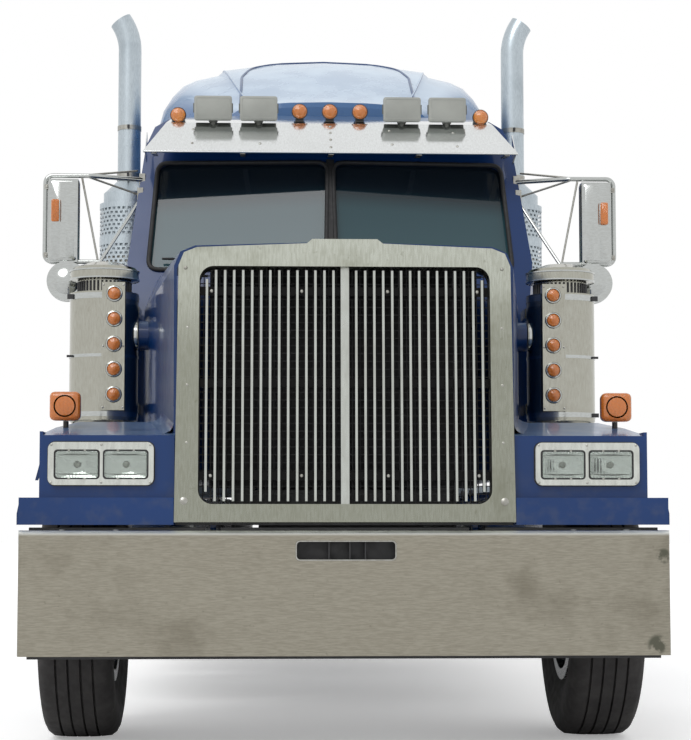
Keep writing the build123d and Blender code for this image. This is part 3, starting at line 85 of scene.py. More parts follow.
def rounded(x, z, corner):
    """The outline of a rectangle with rounded corners, as (x, z) pairs."""
    points = []
    for right, top, start in ((1, 1, 0), (0, 1, 90), (0, 0, 180), (1, 0, 270)):
        middle_x = x[1] - corner if right else x[0] + corner
        middle_z = z[1] - corner if top else z[0] + corner
        for step in range(5):
            angle = radians(start + 90 * step / 4)
            points.append((middle_x + corner * cos(angle), middle_z + corner * sin(angle)))
    return points


def stood(outline, y):
    """An (x, z) outline set across the truck at a station."""
    return [(x, y, z) for x, z in outline]


def sided(outline, x):
    """A (y, z) outline set along the truck at a place across it."""
    return [(x, y, z) for y, z in outline]


def laid(outline, z):
    """An (x, y) outline laid level at a height."""
    return [(x, y, z) for x, y in outline]


def pads(x, z, corner, stations, turn=stood, share=1.0):
    """Rounded rectangles at (station, inset) pairs; the second way is drawn in by a share of the inset."""
    return [
        turn(rounded((x[0] + i, x[1] - i), (z[0] + i * share, z[1] - i * share), corner), at)
        for at, i in stations
    ]


def arc_angles(count):
    """Even angles round a circle."""
    return [2 * pi * index / count for index in range(count)]


class Shape:
    """Points and faces of one piece, with the number of the finish that each face takes."""

    def __init__(self):
        self.points, self.faces, self.tones = [], [], []

    def add(self, points, faces, tone=0):
        """Adds points and the faces between them."""
        first = len(self.points)
        self.points.extend(Vector(point) for point in points)
        self.faces.extend([first + corner for corner in face] for face in faces)
        self.tones.extend([tone] * len(faces))

    def block(self, x, y, z, tone=0):
        """A block between a pair of limits along each axis."""
        corners = [(x[i], y[j], z[k]) for k in (0, 1) for j in (0, 1) for i in (0, 1)]
        faces = [(0, 2, 3, 1), (4, 5, 7, 6), (0, 1, 5, 4), (2, 6, 7, 3), (0, 4, 6, 2), (1, 3, 7, 5)]
        self.add(corners, faces, tone)

    def loft(self, loops, tone=0, capped=True, joined=False):
        """A skin through loops of as many points each, closed at its ends or back on itself."""
        count, last = len(loops[0]), len(loops) - 1
        faces = []
        for row in range(last + joined):
            near, far = row * count, (row + 1) % len(loops) * count
            for i in range(count):
                j = (i + 1) % count
                faces.append((near + i, near + j, far + j, far + i))
        if capped and not joined:
            faces += [range(count)[::-1], range(last * count, len(loops) * count)]
        self.add([point for loop in loops for point in loop], faces, tone)

    def slab(self, outline, push, tone=0):
        """A flat outline of points pushed out into a plate."""
        near = [Vector(point) for point in outline]
        self.loft([near, [point + Vector(push) for point in near]], tone)

    def pad(self, x, z, corner, stations, tone=0, turn=stood, share=1.0):
        """A block with rounded corners, through (station, inset) pairs."""
        self.loft(pads(x, z, corner, stations, turn, share), tone)

    def rim(self, x, z, corners, inset, at, push, tone=0, turn=stood):
        """A flat frame with rounded corners outside and inside, pushed out into a plate."""
        outer, inner = (pads(x, z, corners[i], [(at, inset * i)], turn)[0] for i in (0, 1))
        raised = [[Vector(point) + Vector(push) for point in outline] for outline in (outer, inner)]
        self.loft([outer, *raised, inner], tone, joined=True)

    def grid(self, rows, tone=0):
        """An open sheet through rows of points."""
        count = len(rows[0])
        starts = [r * count + c for r in range(len(rows) - 1) for c in range(count - 1)]
        faces = [(a, a + 1, a + count + 1, a + count) for a in starts]
        self.add([point for row in rows for point in row], faces, tone)

    def lathe(self, origin, direction, profile, sides=24, tone=0):
        """Spins (along, radius) pairs about a line; a radius of 0 closes the end."""
        axis = Vector(direction).normalized()
        side = axis.orthogonal().normalized()
        up = axis.cross(side)
        points, rings, faces = [], [], []
        for along, radius in profile:
            centre = Vector(origin) + axis * along
            first = len(points)
            if radius <= 0:
                points.append(centre)
            else:
                points += [centre + (side * cos(a) + up * sin(a)) * radius for a in arc_angles(sides)]
            rings.append(range(first, len(points)))
        for near, far in zip(rings, rings[1:]):
            for i in range(sides):
                j = (i + 1) % sides
                if len(near) == 1:
                    faces.append((near[0], far[j], far[i]))
                elif len(far) == 1:
                    faces.append((near[i], near[j], far[0]))
                else:
                    faces.append((near[i], near[j], far[j], far[i]))
        self.add(points, faces, tone)

    def band(self, origin, direction, radii, width, sides, tone=0):
        """A ring round a line, between two radii."""
        low, high = radii
        self.lathe(origin, direction, [(0, low), (0, high), (width, high), (width, low)], sides, tone)

    def rod(self, start, end, radius, sides=16, tone=0):
        """A round bar with closed ends."""
        reach = Vector(end) - Vector(start)
        profile = [(0, 0), (0, radius), (reach.length, radius), (reach.length, 0)]
        self.lathe(start, reach, profile, sides, tone)

    def tube(self, path, radius, sides=10, tone=0):
        """A round bar that follows a path of points."""
        path = [Vector(point) for point in path]
        rings, side = [], None
        for i, point in enumerate(path):
            along = (path[min(i + 1, len(path) - 1)] - path[max(i - 1, 0)]).normalized()
            side = along.orthogonal() if side is None else side - along * side.dot(along)
            side.normalize()
            up = along.cross(side)
            rings.append([point + (side * cos(a) + up * sin(a)) * radius for a in arc_angles(sides)])
        self.loft(rings, tone)

    def bolt(self, centre, direction, radius, height, tone=0):
        """A domed bolt or rivet head that sits on a surface."""
        profile = [(-2, radius), (height * 0.35, radius), (height * 0.8, radius * 0.72), (height, 0)]
        self.lathe(centre, direction, profile, 12, tone)

    def bolts(self, centres, direction, radius, height, tone=0):
        """Bolts of one size in many places."""
        for centre in centres:
            self.bolt(centre, direction, radius, height, tone)

    def nut(self, centre, direction, radius, height):
        """A six-sided nut with its stud."""
        self.lathe(centre, direction, [(-1, radius), (height, radius), (height, 0)], 6)
        stud = [(height - 1, radius * 0.45), (height + 7, radius * 0.45), (height + 8, 0)]
        self.lathe(centre, direction, stud, 10)

    def turned_over(self):
        """The mirror image on the truck's other side, as a shape of its own."""
        other = Shape()
        other.add([(-p.x, p.y, p.z) for p in self.points], [face[::-1] for face in self.faces])
        other.tones = list(self.tones)
        return other

    def both_sides(self):
        """Adds the mirror image on the truck's other side."""
        other = self.turned_over()
        self.add(other.points, other.faces)
        self.tones = other.tones * 2
        return self


def bent(points, radius, steps=5):
    """A path whose corners are rounded with short arcs."""
    points = [Vector(point) for point in points]
    path = [points[0]]
    for before, corner, after in zip(points, points[1:], points[2:]):
        back, forth = (before - corner).normalized(), (after - corner).normalized()
        longest = radius / tan(back.angle(forth) / 2)
        reach = min(longest, (before - corner).length / 2.1, (after - corner).length / 2.1)
        first, last = corner + back * reach, corner + forth * reach
        for step in range(steps + 1):
            t = step / steps
            path.append(first.lerp(corner, t).lerp(corner.lerp(last, t), t))
    path.append(points[-1])
    return path


def make(name, shape, body, finishes, replaces=(), bevel=0.0, sharp=38.0):
    """Makes a piece of a shape, lets it ride on its body and gives it its finishes."""
    mesh = bpy.data.meshes.new(name)
    mesh.from_pydata([place(point) for point in shape.points], [], shape.faces)
    mesh.polygons.foreach_set("material_index", shape.tones)
    work = bmesh.new()
    work.from_mesh(mesh)
    bmesh.ops.recalc_face_normals(work, faces=work.faces)
    work.to_mesh(mesh)
    work.free()
    mesh.polygons.foreach_set("use_smooth", [True] * len(mesh.polygons))
    mesh.set_sharp_from_angle(angle=radians(sharp))
    for finish in finishes.split():
        mesh.materials.append(FINISHES[finish])
    piece = bpy.data.objects.new(name, mesh)
    bpy.context.scene.collection.objects.link(piece)
    if bevel:
        edge = piece.modifiers.new("edge", "BEVEL")
        edge.width = bevel / 1000
        edge.segments = 2
        edge.limit_method = "ANGLE"
        edge.angle_limit = radians(40)
        edge.harden_normals = True
    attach(piece, body)
    if replaces:
        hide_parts(*replaces)


# Finishes


def add_node(tree, kind, inputs=(), **settings):
    """A shader node with its settings, its inputs linked from sockets or set to values."""
    node = tree.nodes.new(kind)
    for setting, value in settings.items():
        setattr(node, setting, value)
    for socket, value in dict(inputs).items():
        if isinstance(value, bpy.types.NodeSocket):
            tree.links.new(value, node.inputs[socket])
        else:
            node.inputs[socket].default_value = value
    return node


class Finish:
    """One procedural material: a shader, and the nodes that vary its colour, roughness and relief."""

    def __init__(self, name, colour, roughness, metallic=0.0, **sockets):
        self.material = bpy.data.materials.new(name)
        self.material.use_nodes = True
        self.tree = self.material.node_tree
        self.shader = self.tree.nodes["Principled BSDF"]
        self.material.diffuse_color = (*colour[:3], 1.0)
        self.shader.inputs["Base Color"].default_value = (*colour[:3], 1.0)
        self.shader.inputs["Roughness"].default_value = roughness
        self.shader.inputs["Metallic"].default_value = metallic
        for socket, value in sockets.items():
            socket = socket.replace("_", " ").title().replace("Ior", "IOR")
            self.shader.inputs[socket].default_value = value
        FINISHES[name] = self.material

    def node(self, kind, inputs=(), **settings):
        """A node of this material."""
        return add_node(self.tree, kind, inputs, **settings)

    def link(self, value, socket):
        """Links a value to a socket of the shader."""
        self.tree.links.new(value, self.shader.inputs[socket])

    def place(self, stretch=(1.0, 1.0, 1.0)):
        """The place on the truck in metres, stretched along its axes."""
        where = self.node("ShaderNodeTexCoord").outputs["Object"]
        return self.node("ShaderNodeMapping", {"Vector": where, "Scale": stretch}).outputs["Vector"]

    def cloud(self, scale, detail=3.0, stretch=(1.0, 1.0, 1.0), rough=0.55):
        """A cloudy pattern from 0 to 1."""
        sockets = {"Vector": self.place(stretch), "Scale": scale, "Detail": detail, "Roughness": rough}
        return self.node("ShaderNodeTexNoise", sockets).outputs["Fac"]

    def ridges(self, scale, along):
        """Even ridges that follow one another along an axis."""
        sockets = {"Vector": self.place(), "Scale": scale, "Distortion": 0.0}
        return self.node("ShaderNodeTexWave", sockets, bands_direction=along).outputs["Fac"]

    def step(self, value, low, high, to_low=0.0, to_high=1.0):
        """Remaps a value from one range to another, softly and clamped."""
        sockets = {"Value": value, "From Min": low, "From Max": high, "To Min": to_low, "To Max": to_high}
        return self.node("ShaderNodeMapRange", sockets, interpolation_type="SMOOTHSTEP").outputs["Result"]

    def maths(self, operation, a, b=0.0):
        """One sum of two values."""
        return self.node("ShaderNodeMath", {0: a, 1: b}, operation=operation).outputs[0]

    def part(self, vector, axis):
        """One part of a vector."""
        return self.node("ShaderNodeSeparateXYZ", {0: vector}).outputs[axis]

    def height(self):
        """The height above the ground in metres."""
        return self.part(self.place(), "Z")

    def across(self):
        """The distance from the truck's middle in metres."""
        return self.maths("ABSOLUTE", self.part(self.place(), "X"))

    def upward(self):
        """How far the surface faces up, from -1 to 1."""
        return self.part(self.node("ShaderNodeNewGeometry").outputs["Normal"], "Z")

    def measured(self, operation, other):
        """The place on the truck, measured along a direction or from a point, in metres."""
        sockets = {0: self.place(), 1: tuple(other)}
        return self.node("ShaderNodeVectorMath", sockets, operation=operation).outputs["Value"]

    def mix(self, fac, a, b):
        """A colour between two others."""
        a, b = (c if isinstance(c, bpy.types.NodeSocket) else (*c[:3], 1.0) for c in (a, b))
        return self.node("ShaderNodeMix", {0: fac, 6: a, 7: b}, data_type="RGBA").outputs[2]

    def base_colour(self):
        """The socket that colours the shader."""
        return self.shader.inputs["Base Color"].links[0].from_socket

    def lay(self, fac, colour):
        """Lays a colour over what the shader has."""
        self.link(self.mix(fac, self.base_colour(), colour), "Base Color")

    def relief(self, value, depth, strength=1.0):
        """Raises the surface by a pattern, with its depth in millimetres."""
        sockets = {"Height": value, "Distance": depth / 1000, "Strength": strength}
        self.link(self.node("ShaderNodeBump", sockets).outputs["Normal"], "Normal")


def metal(name, colour, dark, roughness, streaks=(1, 1, 1), spread=0.12, depth=0.25, stains=0.5):
    """A worn metal: streaks along its grain, darker stains and a roughness that varies."""
    finish = Finish(name, colour, roughness, 1.0)
    grain = finish.cloud(60.0, 4.0, streaks)
    patches = finish.cloud(3.2, 5.0, rough=0.62)
    tone = finish.mix(finish.step(grain, 0.3, 0.7, 0.0, 0.35), colour, dark)
    tone = finish.mix(finish.step(patches, 0.50, 0.78, 0.0, stains), tone, dark)
    speck = finish.step(finish.cloud(38.0), 0.64, 0.76, 0.0, stains * 0.7)
    finish.link(finish.mix(speck, tone, dark), "Base Color")
    uneven = finish.maths("ADD", grain, patches)
    finish.link(finish.step(uneven, 0.7, 1.3, roughness, roughness + spread), "Roughness")
    finish.relief(grain, depth, 0.35)
    return finish


def paint(name, colour, sheen_colour, roughness=0.28, sheen_share=0.55):
    """Glossy paint under a clear coat, paler where it faces the sky: a painted sky reflection with some dust.
    """
    finish = Finish(name, colour, roughness, coat_weight=0.35, coat_roughness=0.05, specular_ior_level=0.25)
    # Painted sky reflection with dust: upward faces blend towards the paler sheen colour, more where the dust
    # pattern is high.
    sun = finish.step(finish.upward(), 0.35, 1.0, 0.0, sheen_share)
    dust = finish.cloud(5.0, 5.0)
    sun = finish.maths("MULTIPLY", sun, finish.step(dust, 0.3, 0.7, 0.7, 1.0))
    uneven = finish.step(finish.cloud(1.3), 0.35, 0.75, 0.0, 0.35)
    tone = finish.mix(sun, finish.mix(uneven, colour, [c * 1.6 for c in colour]), sheen_colour)
    grime = finish.step(finish.height(), 1.15, 0.80, 0.0, 0.25)
    grime = finish.maths("MULTIPLY", grime, finish.step(finish.cloud(14.0, 4.0), 0.45, 0.70))
    finish.link(finish.mix(grime, tone, (0.10, 0.10, 0.09)), "Base Color")
    finish.link(finish.step(dust, 0.3, 0.8, roughness, roughness + 0.15), "Roughness")
    finish.relief(finish.cloud(220.0, 2.0), 0.05, 0.2)


def plain(name, colour, roughness, scale=40.0, depth=0.2, spread=0.3):
    """A moulded or painted surface with a fine grain and an uneven tone."""
    finish = Finish(name, colour, roughness)
    grain = finish.cloud(scale, 4.0)
    worn = finish.step(finish.cloud(4.0, 4.0), 0.35, 0.7)
    finish.link(finish.mix(worn, colour, [c * (1 - spread) for c in colour]), "Base Color")
    finish.link(finish.step(grain, 0.3, 0.7, roughness, min(roughness + 0.15, 1.0)), "Roughness")
    finish.relief(grain, depth, 0.4)
    return finish


def lens(name, colour, roughness, strength=0.5):
    """A coloured lamp lens with moulded prisms."""
    finish = Finish(name, colour, roughness, coat_weight=1.0, coat_roughness=0.03, transmission_weight=0.25)
    prisms = finish.ridges(60.0, "X")
    shade = finish.step(prisms, 0.2, 0.9, 0.0, 0.45)
    finish.link(finish.mix(shade, colour, [c * 0.5 for c in colour]), "Base Color")
    finish.relief(prisms, 1.2, strength)


# A metal's colour, its colour where dark, roughness, streaks, spread of roughness, depth and stains
METALS = {
    "bar_metal": ((0.62, 0.64, 0.60), (0.30, 0.30, 0.27), 0.20, (1, 1, 0.2), 0.12, 0.05),
    "mirror_metal": ((0.50, 0.52, 0.51), (0.34, 0.34, 0.32), 0.10, (1, 1, 3), 0.08, 0.03, 0.12),
    "visor_metal": ((0.74, 0.76, 0.76), (0.55, 0.56, 0.55), 0.09, (3, 1, 1), 0.06, 0.04, 0.25),
    "cleaner_metal": ((0.42, 0.42, 0.37), (0.24, 0.22, 0.17), 0.14, (4, 4, 0.5), 0.10, 0.08, 0.4),
    "stack_metal": ((0.50, 0.56, 0.60), (0.26, 0.30, 0.33), 0.26, (3, 3, 0.6), 0.16, 0.1, 0.4),
    "tank_aluminium": ((0.66, 0.67, 0.68), (0.40, 0.40, 0.40), 0.18, (0.4, 4, 4), 0.12, 0.1, 0.3),
    "wheel_aluminium": ((0.62, 0.63, 0.64), (0.34, 0.33, 0.31), 0.22, (1, 2, 2), 0.15, 0.1, 0.45),
    "bolt_steel": ((0.42, 0.42, 0.39), (0.16, 0.14, 0.11), 0.30, (1, 1, 1), 0.12, 0.1),
    "worn_iron": ((0.16, 0.15, 0.14), (0.07, 0.055, 0.045), 0.42, (1, 1, 1), 0.12, 0.6),
}
# A plain surface's colour, roughness, scale, depth and spread of tone
PLAIN = {
    "frame_black": ((0.022, 0.022, 0.024), 0.42, 40, 0.4),
    "engine_grey": ((0.07, 0.07, 0.072), 0.55, 40, 0.8),
    "seal_rubber": ((0.012, 0.012, 0.013), 0.55, 40, 0.3),
    "flap_rubber": ((0.018, 0.018, 0.018), 0.70, 40, 0.8),
    "cover_grey": ((0.36, 0.37, 0.34), 0.38, 25, 0.3, 0.18),
    "cover_edge": ((0.14, 0.145, 0.13), 0.45),
    "lamp_dark": ((0.03, 0.028, 0.025), 0.35),
    "pane_dark": ((0.012, 0.016, 0.020), 0.04, 40, 0),
    "line_red": ((0.30, 0.012, 0.010), 0.40),
    "line_blue": ((0.010, 0.05, 0.28), 0.40),
    "dash_dark": ((0.035, 0.035, 0.038), 0.60, 120, 0.4),
    "seat_cloth": ((0.045, 0.05, 0.065), 0.90, 300, 0.8),
}
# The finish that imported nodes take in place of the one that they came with
DRESSED = {
    "body_blue": "hood cab_floor cab_shell cab_sides cab_back cab_roof cab_roof_sides door_left door_right"
    " sleeper_shell",
    "roof_blue": "roof_cap",
    "bumper_metal": "front_bumper",
    "grille_metal": "grille_surround",
    "grille_bar_metal": "grille_bars",
    "bar_metal": "headlamp_bezels",
    "visor_metal": "sun_visor",
    "mirror_metal": "mirrors",
    "cleaner_metal": "air_cleaners lamp_panels",
    "stack_metal": "exhaust_stacks muffler_guards",
    "tank_aluminium": "fuel_tanks tool_boxes",
    "wheel_aluminium": "steer_rim_left steer_rim_right front_drive_rims_left front_drive_rims_right"
    " rear_drive_rims_left rear_drive_rims_right",
    "frame_black": "frame_rails front_axle springs drive_axles propeller_shafts fifth_wheel_base"
    " knuckle_left knuckle_right tie_rod",
    "engine_grey": "engine_block",
    "radiator_fins": "radiator",
    "worn_iron": "fifth_wheel_plate",
    "flap_rubber": "mud_flaps",
    "red_lens": "tail_lamps",
    "amber_lens": "amber_lamps turn_lamps",
    "cover_grey": "roof_box_lamps",
    "clear_prisms": "headlamp_lenses",
    "windshield_glass": "windshield door_glass_left door_glass_right",
    "dash_dark": "dashboard",
    "seat_cloth": "seats bunk",
}


# What a user would change


class TruckFinish(bpy.types.PropertyGroup):
    """Colours of the truck's finishes."""

    body_blue: FloatVectorProperty(
        name="Body blue",
        description="Colour of the hood, fenders, cab and sleeper",
        subtype="COLOR", size=3, default=(0.0, 0.025, 0.115), min=0.0, max=1.0,
    )
    # Colour of the painted sky reflection, mixed with dust, that the paint takes on its upward faces.
    sheen_blue: FloatVectorProperty(
        name="Faded blue",
        description="Colour of the paint where the sun has faded it",
        subtype="COLOR", size=3, default=(0.16, 0.26, 0.42), min=0.0, max=1.0,
    )
    bumper_grey: FloatVectorProperty(
        name="Bumper grey",
        description="Colour of the worn bumper's metal",
        subtype="COLOR", size=3, default=(0.33, 0.31, 0.255), min=0.0, max=1.0,
    )
    amber: FloatVectorProperty(
        name="Lamp amber",
        description="Colour of the marker and turn lamps",
        subtype="COLOR", size=3, default=(0.80, 0.215, 0.012), min=0.0, max=1.0,
    )


class TruckTyre(bpy.types.PropertyGroup):
    """Sizes of the tyre treads."""

    groove_depth: FloatProperty(
        name="Groove depth",
        description="Depth of the tread grooves",
        subtype="DISTANCE", unit="LENGTH", default=0.014, min=0.002, max=0.022,
    )
    steer_ribs: IntProperty(
        name="Steer ribs", description="Number of ribs on a front tyre", default=5, min=3, max=7
    )
    pitches: IntProperty(
        name="Pitches", description="Number of tread blocks round a tyre", default=96, min=48, max=120
    )


class TruckStudio(bpy.types.PropertyGroup):
    """Camera and lights of the studio."""

    lens_length: FloatProperty(
        name="Lens",
        description="Focal length of the camera's lens",
        subtype="DISTANCE_CAMERA", unit="CAMERA", default=100.24, min=20.0, max=300.0,
    )
    camera_height: FloatProperty(
        name="Camera height",
        description="Height of the camera above the floor",
        subtype="DISTANCE", unit="LENGTH", default=0.877, min=0.1, max=10.0,
    )
    sky_light: FloatProperty(
        name="Sky light",
        description="Strength of the even light from all round",
        default=0.72, min=0.0, max=3.0,
    )
    key_light: FloatProperty(
        name="Key light",
        description="Strength of the soft light from the front and above",
        default=1.1, min=0.0, max=10.0,
    )


class TRUCK_OT_finishes(bpy.types.Operator):
    """Makes the truck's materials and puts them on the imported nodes"""

    bl_idname = "truck.finishes"
    bl_label = "Finishes"

    def execute(self, context):
        colours = context.scene.truck_finish
        paint("body_blue", tuple(colours.body_blue), tuple(colours.sheen_blue))
        # The roof cap's paint with painted sky light: a paler blue base than the body's, and a near-white
        # painted sky reflection over most of its upward faces.
        paint("roof_blue", (0.05, 0.13, 0.29), (0.62, 0.74, 0.86), 0.24, 0.95)
        for name, values in METALS.items():
            metal(name, *values)
        for name, values in PLAIN.items():
            plain(name, *values)
        lens("amber_lens", tuple(colours.amber), 0.16)
        lens("red_lens", (0.45, 0.010, 0.008), 0.18)
        lens("clear_prisms", (0.62, 0.66, 0.62), 0.10, 0.9)

        bumper = metal("bumper_metal", tuple(colours.bumper_grey), (0.13, 0.115, 0.085), 0.30, (0.5, 1, 5))
        # Painted highlight: a pale band along the bumper's rolled top edge, above 0.815 m.
        bumper.lay(bumper.step(bumper.height(), 0.815, 0.832), (0.70, 0.72, 0.70))
        for spot, radius in (((1193, 0, 741), 34), ((1165, 0, 412), 44)):
            gap = bumper.measured("DISTANCE", place(spot))
            close = bumper.step(gap, radius / 1000, radius / 1700)
            ragged = bumper.maths("MULTIPLY", close, bumper.step(bumper.cloud(30.0), 0.35, 0.55))
            bumper.lay(ragged, (0.11, 0.11, 0.085))

        shell = metal("grille_metal", (0.50, 0.52, 0.46), (0.17, 0.17, 0.12), 0.24, (3, 1, 0.4))
        # Darker below 1.45 m, blending back to the plain metal by 1.90 m.
        old = shell.base_colour()
        darker_below = shell.mix(0.55, old, (0.14, 0.14, 0.10))
        shell.link(shell.mix(shell.step(shell.height(), 1.45, 1.90), darker_below, old), "Base Color")

        bars = metal(
            "grille_bar_metal", (0.50, 0.52, 0.49), (0.30, 0.30, 0.27), 0.22, (1, 1, 0.2), depth=0.05
        )
        # Painted shade: the bars turn near black deeper than 21 mm behind the grille's face, inside its
        # recess.
        face = place(GRILLE_BASE).dot(GRILLE_IN)
        behind = bars.measured("DOT_PRODUCT", GRILLE_IN)
        bars.lay(bars.step(behind, face + 0.021, face + 0.034), (0.012, 0.012, 0.012))

        tread = plain("tyre_rubber", (0.020, 0.018, 0.018), 0.72, 30.0, 0.6, 0.35)
        tread.lay(tread.step(tread.cloud(9.0, 5.0), 0.42, 0.72, 0.0, 0.5), (0.045, 0.042, 0.040))
        core = plain("radiator_fins", (0.010, 0.010, 0.011), 0.55)
        core.relief(core.ridges(90.0, "Z"), 2.0, 0.8)

        glass = Finish("windshield_glass", (0.034, 0.090, 0.108), 0.03, transmission_weight=0.22, ior=1.45)
        # Painted light on the glass: a painted sky reflection that is lighter low down and darker from 2.05 m
        # to 2.45 m, and a near-black band at the top, painted shade under the sun visor, whose lower edge
        # reaches lower towards the sides.
        band = glass.maths("ADD", glass.height(), glass.maths("MULTIPLY", glass.across(), 0.06))
        rise = glass.step(glass.height(), 2.05, 2.45)
        tint_and_painted_reflection = glass.mix(rise, (0.042, 0.098, 0.116), (0.026, 0.072, 0.088))
        glass.link(glass.mix(glass.step(band, 2.36, 2.50), tint_and_painted_reflection, (0.008, 0.014, 0.022)), "Base Color")
        smear = glass.cloud(6.0, 4.0, (1.0, 1.0, 0.4))
        glass.link(glass.step(smear, 0.45, 0.8, 0.02, 0.10), "Roughness")
        pane = Finish("lamp_glass", (0.86, 0.90, 0.87), 0.03, transmission_weight=1.0, ior=1.45)
        pane.relief(pane.ridges(26.0, "X"), 2.5, 0.6)

        for finish, nodes in DRESSED.items():
            for name in nodes.split():
                mesh_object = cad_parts[name]
                if not mesh_object.material_slots:
                    mesh_object.data.materials.append(FINISHES[finish])
                for slot in mesh_object.material_slots:
                    slot.material = FINISHES[finish]
        return {"FINISHED"}


# Tyres

TYRE_RADIUS = 522.5
SIDES = ((1, "left"), (-1, "right"))
STEER_WHEEL = (1035.0, 760.0)
DRIVE_AXLES = (("front", 5990.0), ("rear", 7310.0))
DUAL_PLACES = (745.0, 1085.0)
SIDEWALL = (
    (286, 102), (300, 112), (318, 116), (338, 127), (352, 127), (356, 130), (372, 134), (404, 141), (408, 143),
    (436, 144.5), (465, 145), (486, 141), (490, 137), (503, 132),
)


def on_wheel(x, y, radius, angle):
    """A point round an axle."""
    return (x, y + radius * sin(angle), TYRE_RADIUS + radius * cos(angle))


def tread_profile(ribs, depth):
    """The tyre's section from bead to bead as (radius, offset, rib) rows; rib is None off the tread."""
    half_width, groove = 113.0, 9.0
    width = (2 * half_width - (ribs - 1) * groove) / ribs
    tread = []
    for rib in range(ribs):
        left = half_width - rib * (width + groove)
        right = left - width
        high, low = (TYRE_RADIUS - 5.5 * (abs(edge) / half_width) ** 3 for edge in (left, right))
        tread += [(high, left, rib), ((high + low) / 2, (left + right) / 2, rib), (low, right, rib)]
        if rib < ribs - 1:
            tread += [(low - depth, right - groove * share, None) for share in (0.25, 0.75)]
    side = [(radius, offset, None) for radius, offset in SIDEWALL]
    return side + tread + [(radius, -offset, None) for radius, offset, _ in reversed(side)]


def add_tyre(shape, x, y, ribs, depth, pitches, lugs):
    """One tyre: sidewalls with raised rings, and a tread of notched ribs or of lugs."""
    loops = []
    for step, angle in enumerate(arc_angles(pitches * 2)):
        loop = []
        for radius, offset, rib in tread_profile(ribs, depth):
            odd = rib is not None and (step + rib) % 2
            if odd and lugs:
                radius -= depth * 0.75
            elif odd:
                offset += 1.6 if offset > 0 else -1.6
                radius -= 0.8
            loop.append(on_wheel(x + offset, y, radius, angle))
        loops.append(loop)
    shape.loft(loops, joined=True)


class TRUCK_OT_tyres(bpy.types.Operator):
    """Builds the treaded tyres that stand for the plain ones"""

    bl_idname = "truck.tyres"
    bl_label = "Tyres"

    def execute(self, context):
        sizes = context.scene.truck_tyre
        depth = sizes.groove_depth * 1000
        for side, name in SIDES:
            x, y = STEER_WHEEL
            shape = Shape()
            add_tyre(shape, x * side, y, sizes.steer_ribs, depth, sizes.pitches, False)
            node = f"steer_tyre_{name}"
            make(f"{node}_tread", shape, f"steer_wheel_{name}", "tyre_rubber", [node])
            for axle, y in DRIVE_AXLES:
                shape = Shape()
                for x in DUAL_PLACES:
                    add_tyre(shape, x * side, y, 4, depth, sizes.pitches // 2, True)
                node = f"{axle}_drive_tyres_{name}"
                body = f"{axle}_drive_wheels_{name}"
                make(f"{node}_tread", shape, body, "tyre_rubber", [node])
        return {"FINISHED"}


class TRUCK_OT_wheel_trim(bpy.types.Operator):
    """Adds wheel nuts and hub caps"""

    bl_idname = "truck.wheel_trim"
    bl_label = "Wheel trim"

    def execute(self, context):
        for side, name in SIDES:
            wheels = [(f"steer_wheel_{name}", "steer", STEER_WHEEL[1], 1109, 1180)]
            wheels += [(f"{axle}_drive_wheels_{name}", axle, y, 915, 1200) for axle, y in DRIVE_AXLES]
            for body, label, y, seat, cap in wheels:
                shape = Shape()
                out = (side, 0, 0)
                for angle in arc_angles(10):
                    shape.nut(on_wheel(seat * side, y, 143, angle), out, 17, 26)
                hub = [(-6, 74), (0, 74), (4, 68), (14, 66), (18, 40), (20, 0)]
                shape.lathe((cap * side, y, TYRE_RADIUS), out, hub, 32, 1)
                for angle in arc_angles(8):
                    shape.bolt(on_wheel((cap + 3) * side, y, 60, angle + pi / 8), out, 7, 7)
                make(f"{label}_nuts_{name}", shape, body, "bolt_steel wheel_aluminium")
        return {"FINISHED"}


# Trim


def on_grille(x, up, inward=0.0):
    """A point on the leaning grille: across, up its face and in from it."""
    return GRILLE_BASE + Vector((x, 0, 0)) + GRILLE_UP * up + GRILLE_IN * inward


class TRUCK_OT_bumper(bpy.types.Operator):
    """Adds the bumper's bolts, its slot's partitions and the dark boards behind it"""

    bl_idname = "truck.bumper"
    bl_label = "Bumper trim"

    def execute(self, context):
        trim = Shape()
        for x, z in ((-310, 664), (245, 783), (331, 799), (331, 668)):
            trim.lathe((x, 3, z), FORWARD, [(0, 12), (2, 12), (2.6, 8), (2.9, 0)], 16)
        trim.rim((-188.5, 188.5), (724.5, 799.5), (16, 13), 4.5, 1, (0, 8, 0))
        trim.block((-188, 188), (62, 66), (706, 818), 1)
        for x in (-66, 12, 70):
            trim.block((x, x + 5), (14, 62), (720, 806), 1)
        trim.block((-1185, 1185), (34, 80), (360, 371), 1)
        trim.bolts([(x, 45, 837) for x in (-1060, -860, 860, 1060)], UP, 12, 5)
        make("bumper_trim", trim, "chassis", "bolt_steel frame_black")

        board = Shape()
        for x in ((-1190, -530), (-470, 470), (530, 1190)):
            board.block(x, (94, 99), (700, 848))
        for x in (-900, -300, 300, 900):
            board.block((x - 20, x + 20), (60, 94), (780, 836))
        make("splash_board", board, "chassis", "frame_black", bevel=1.5)
        return {"FINISHED"}


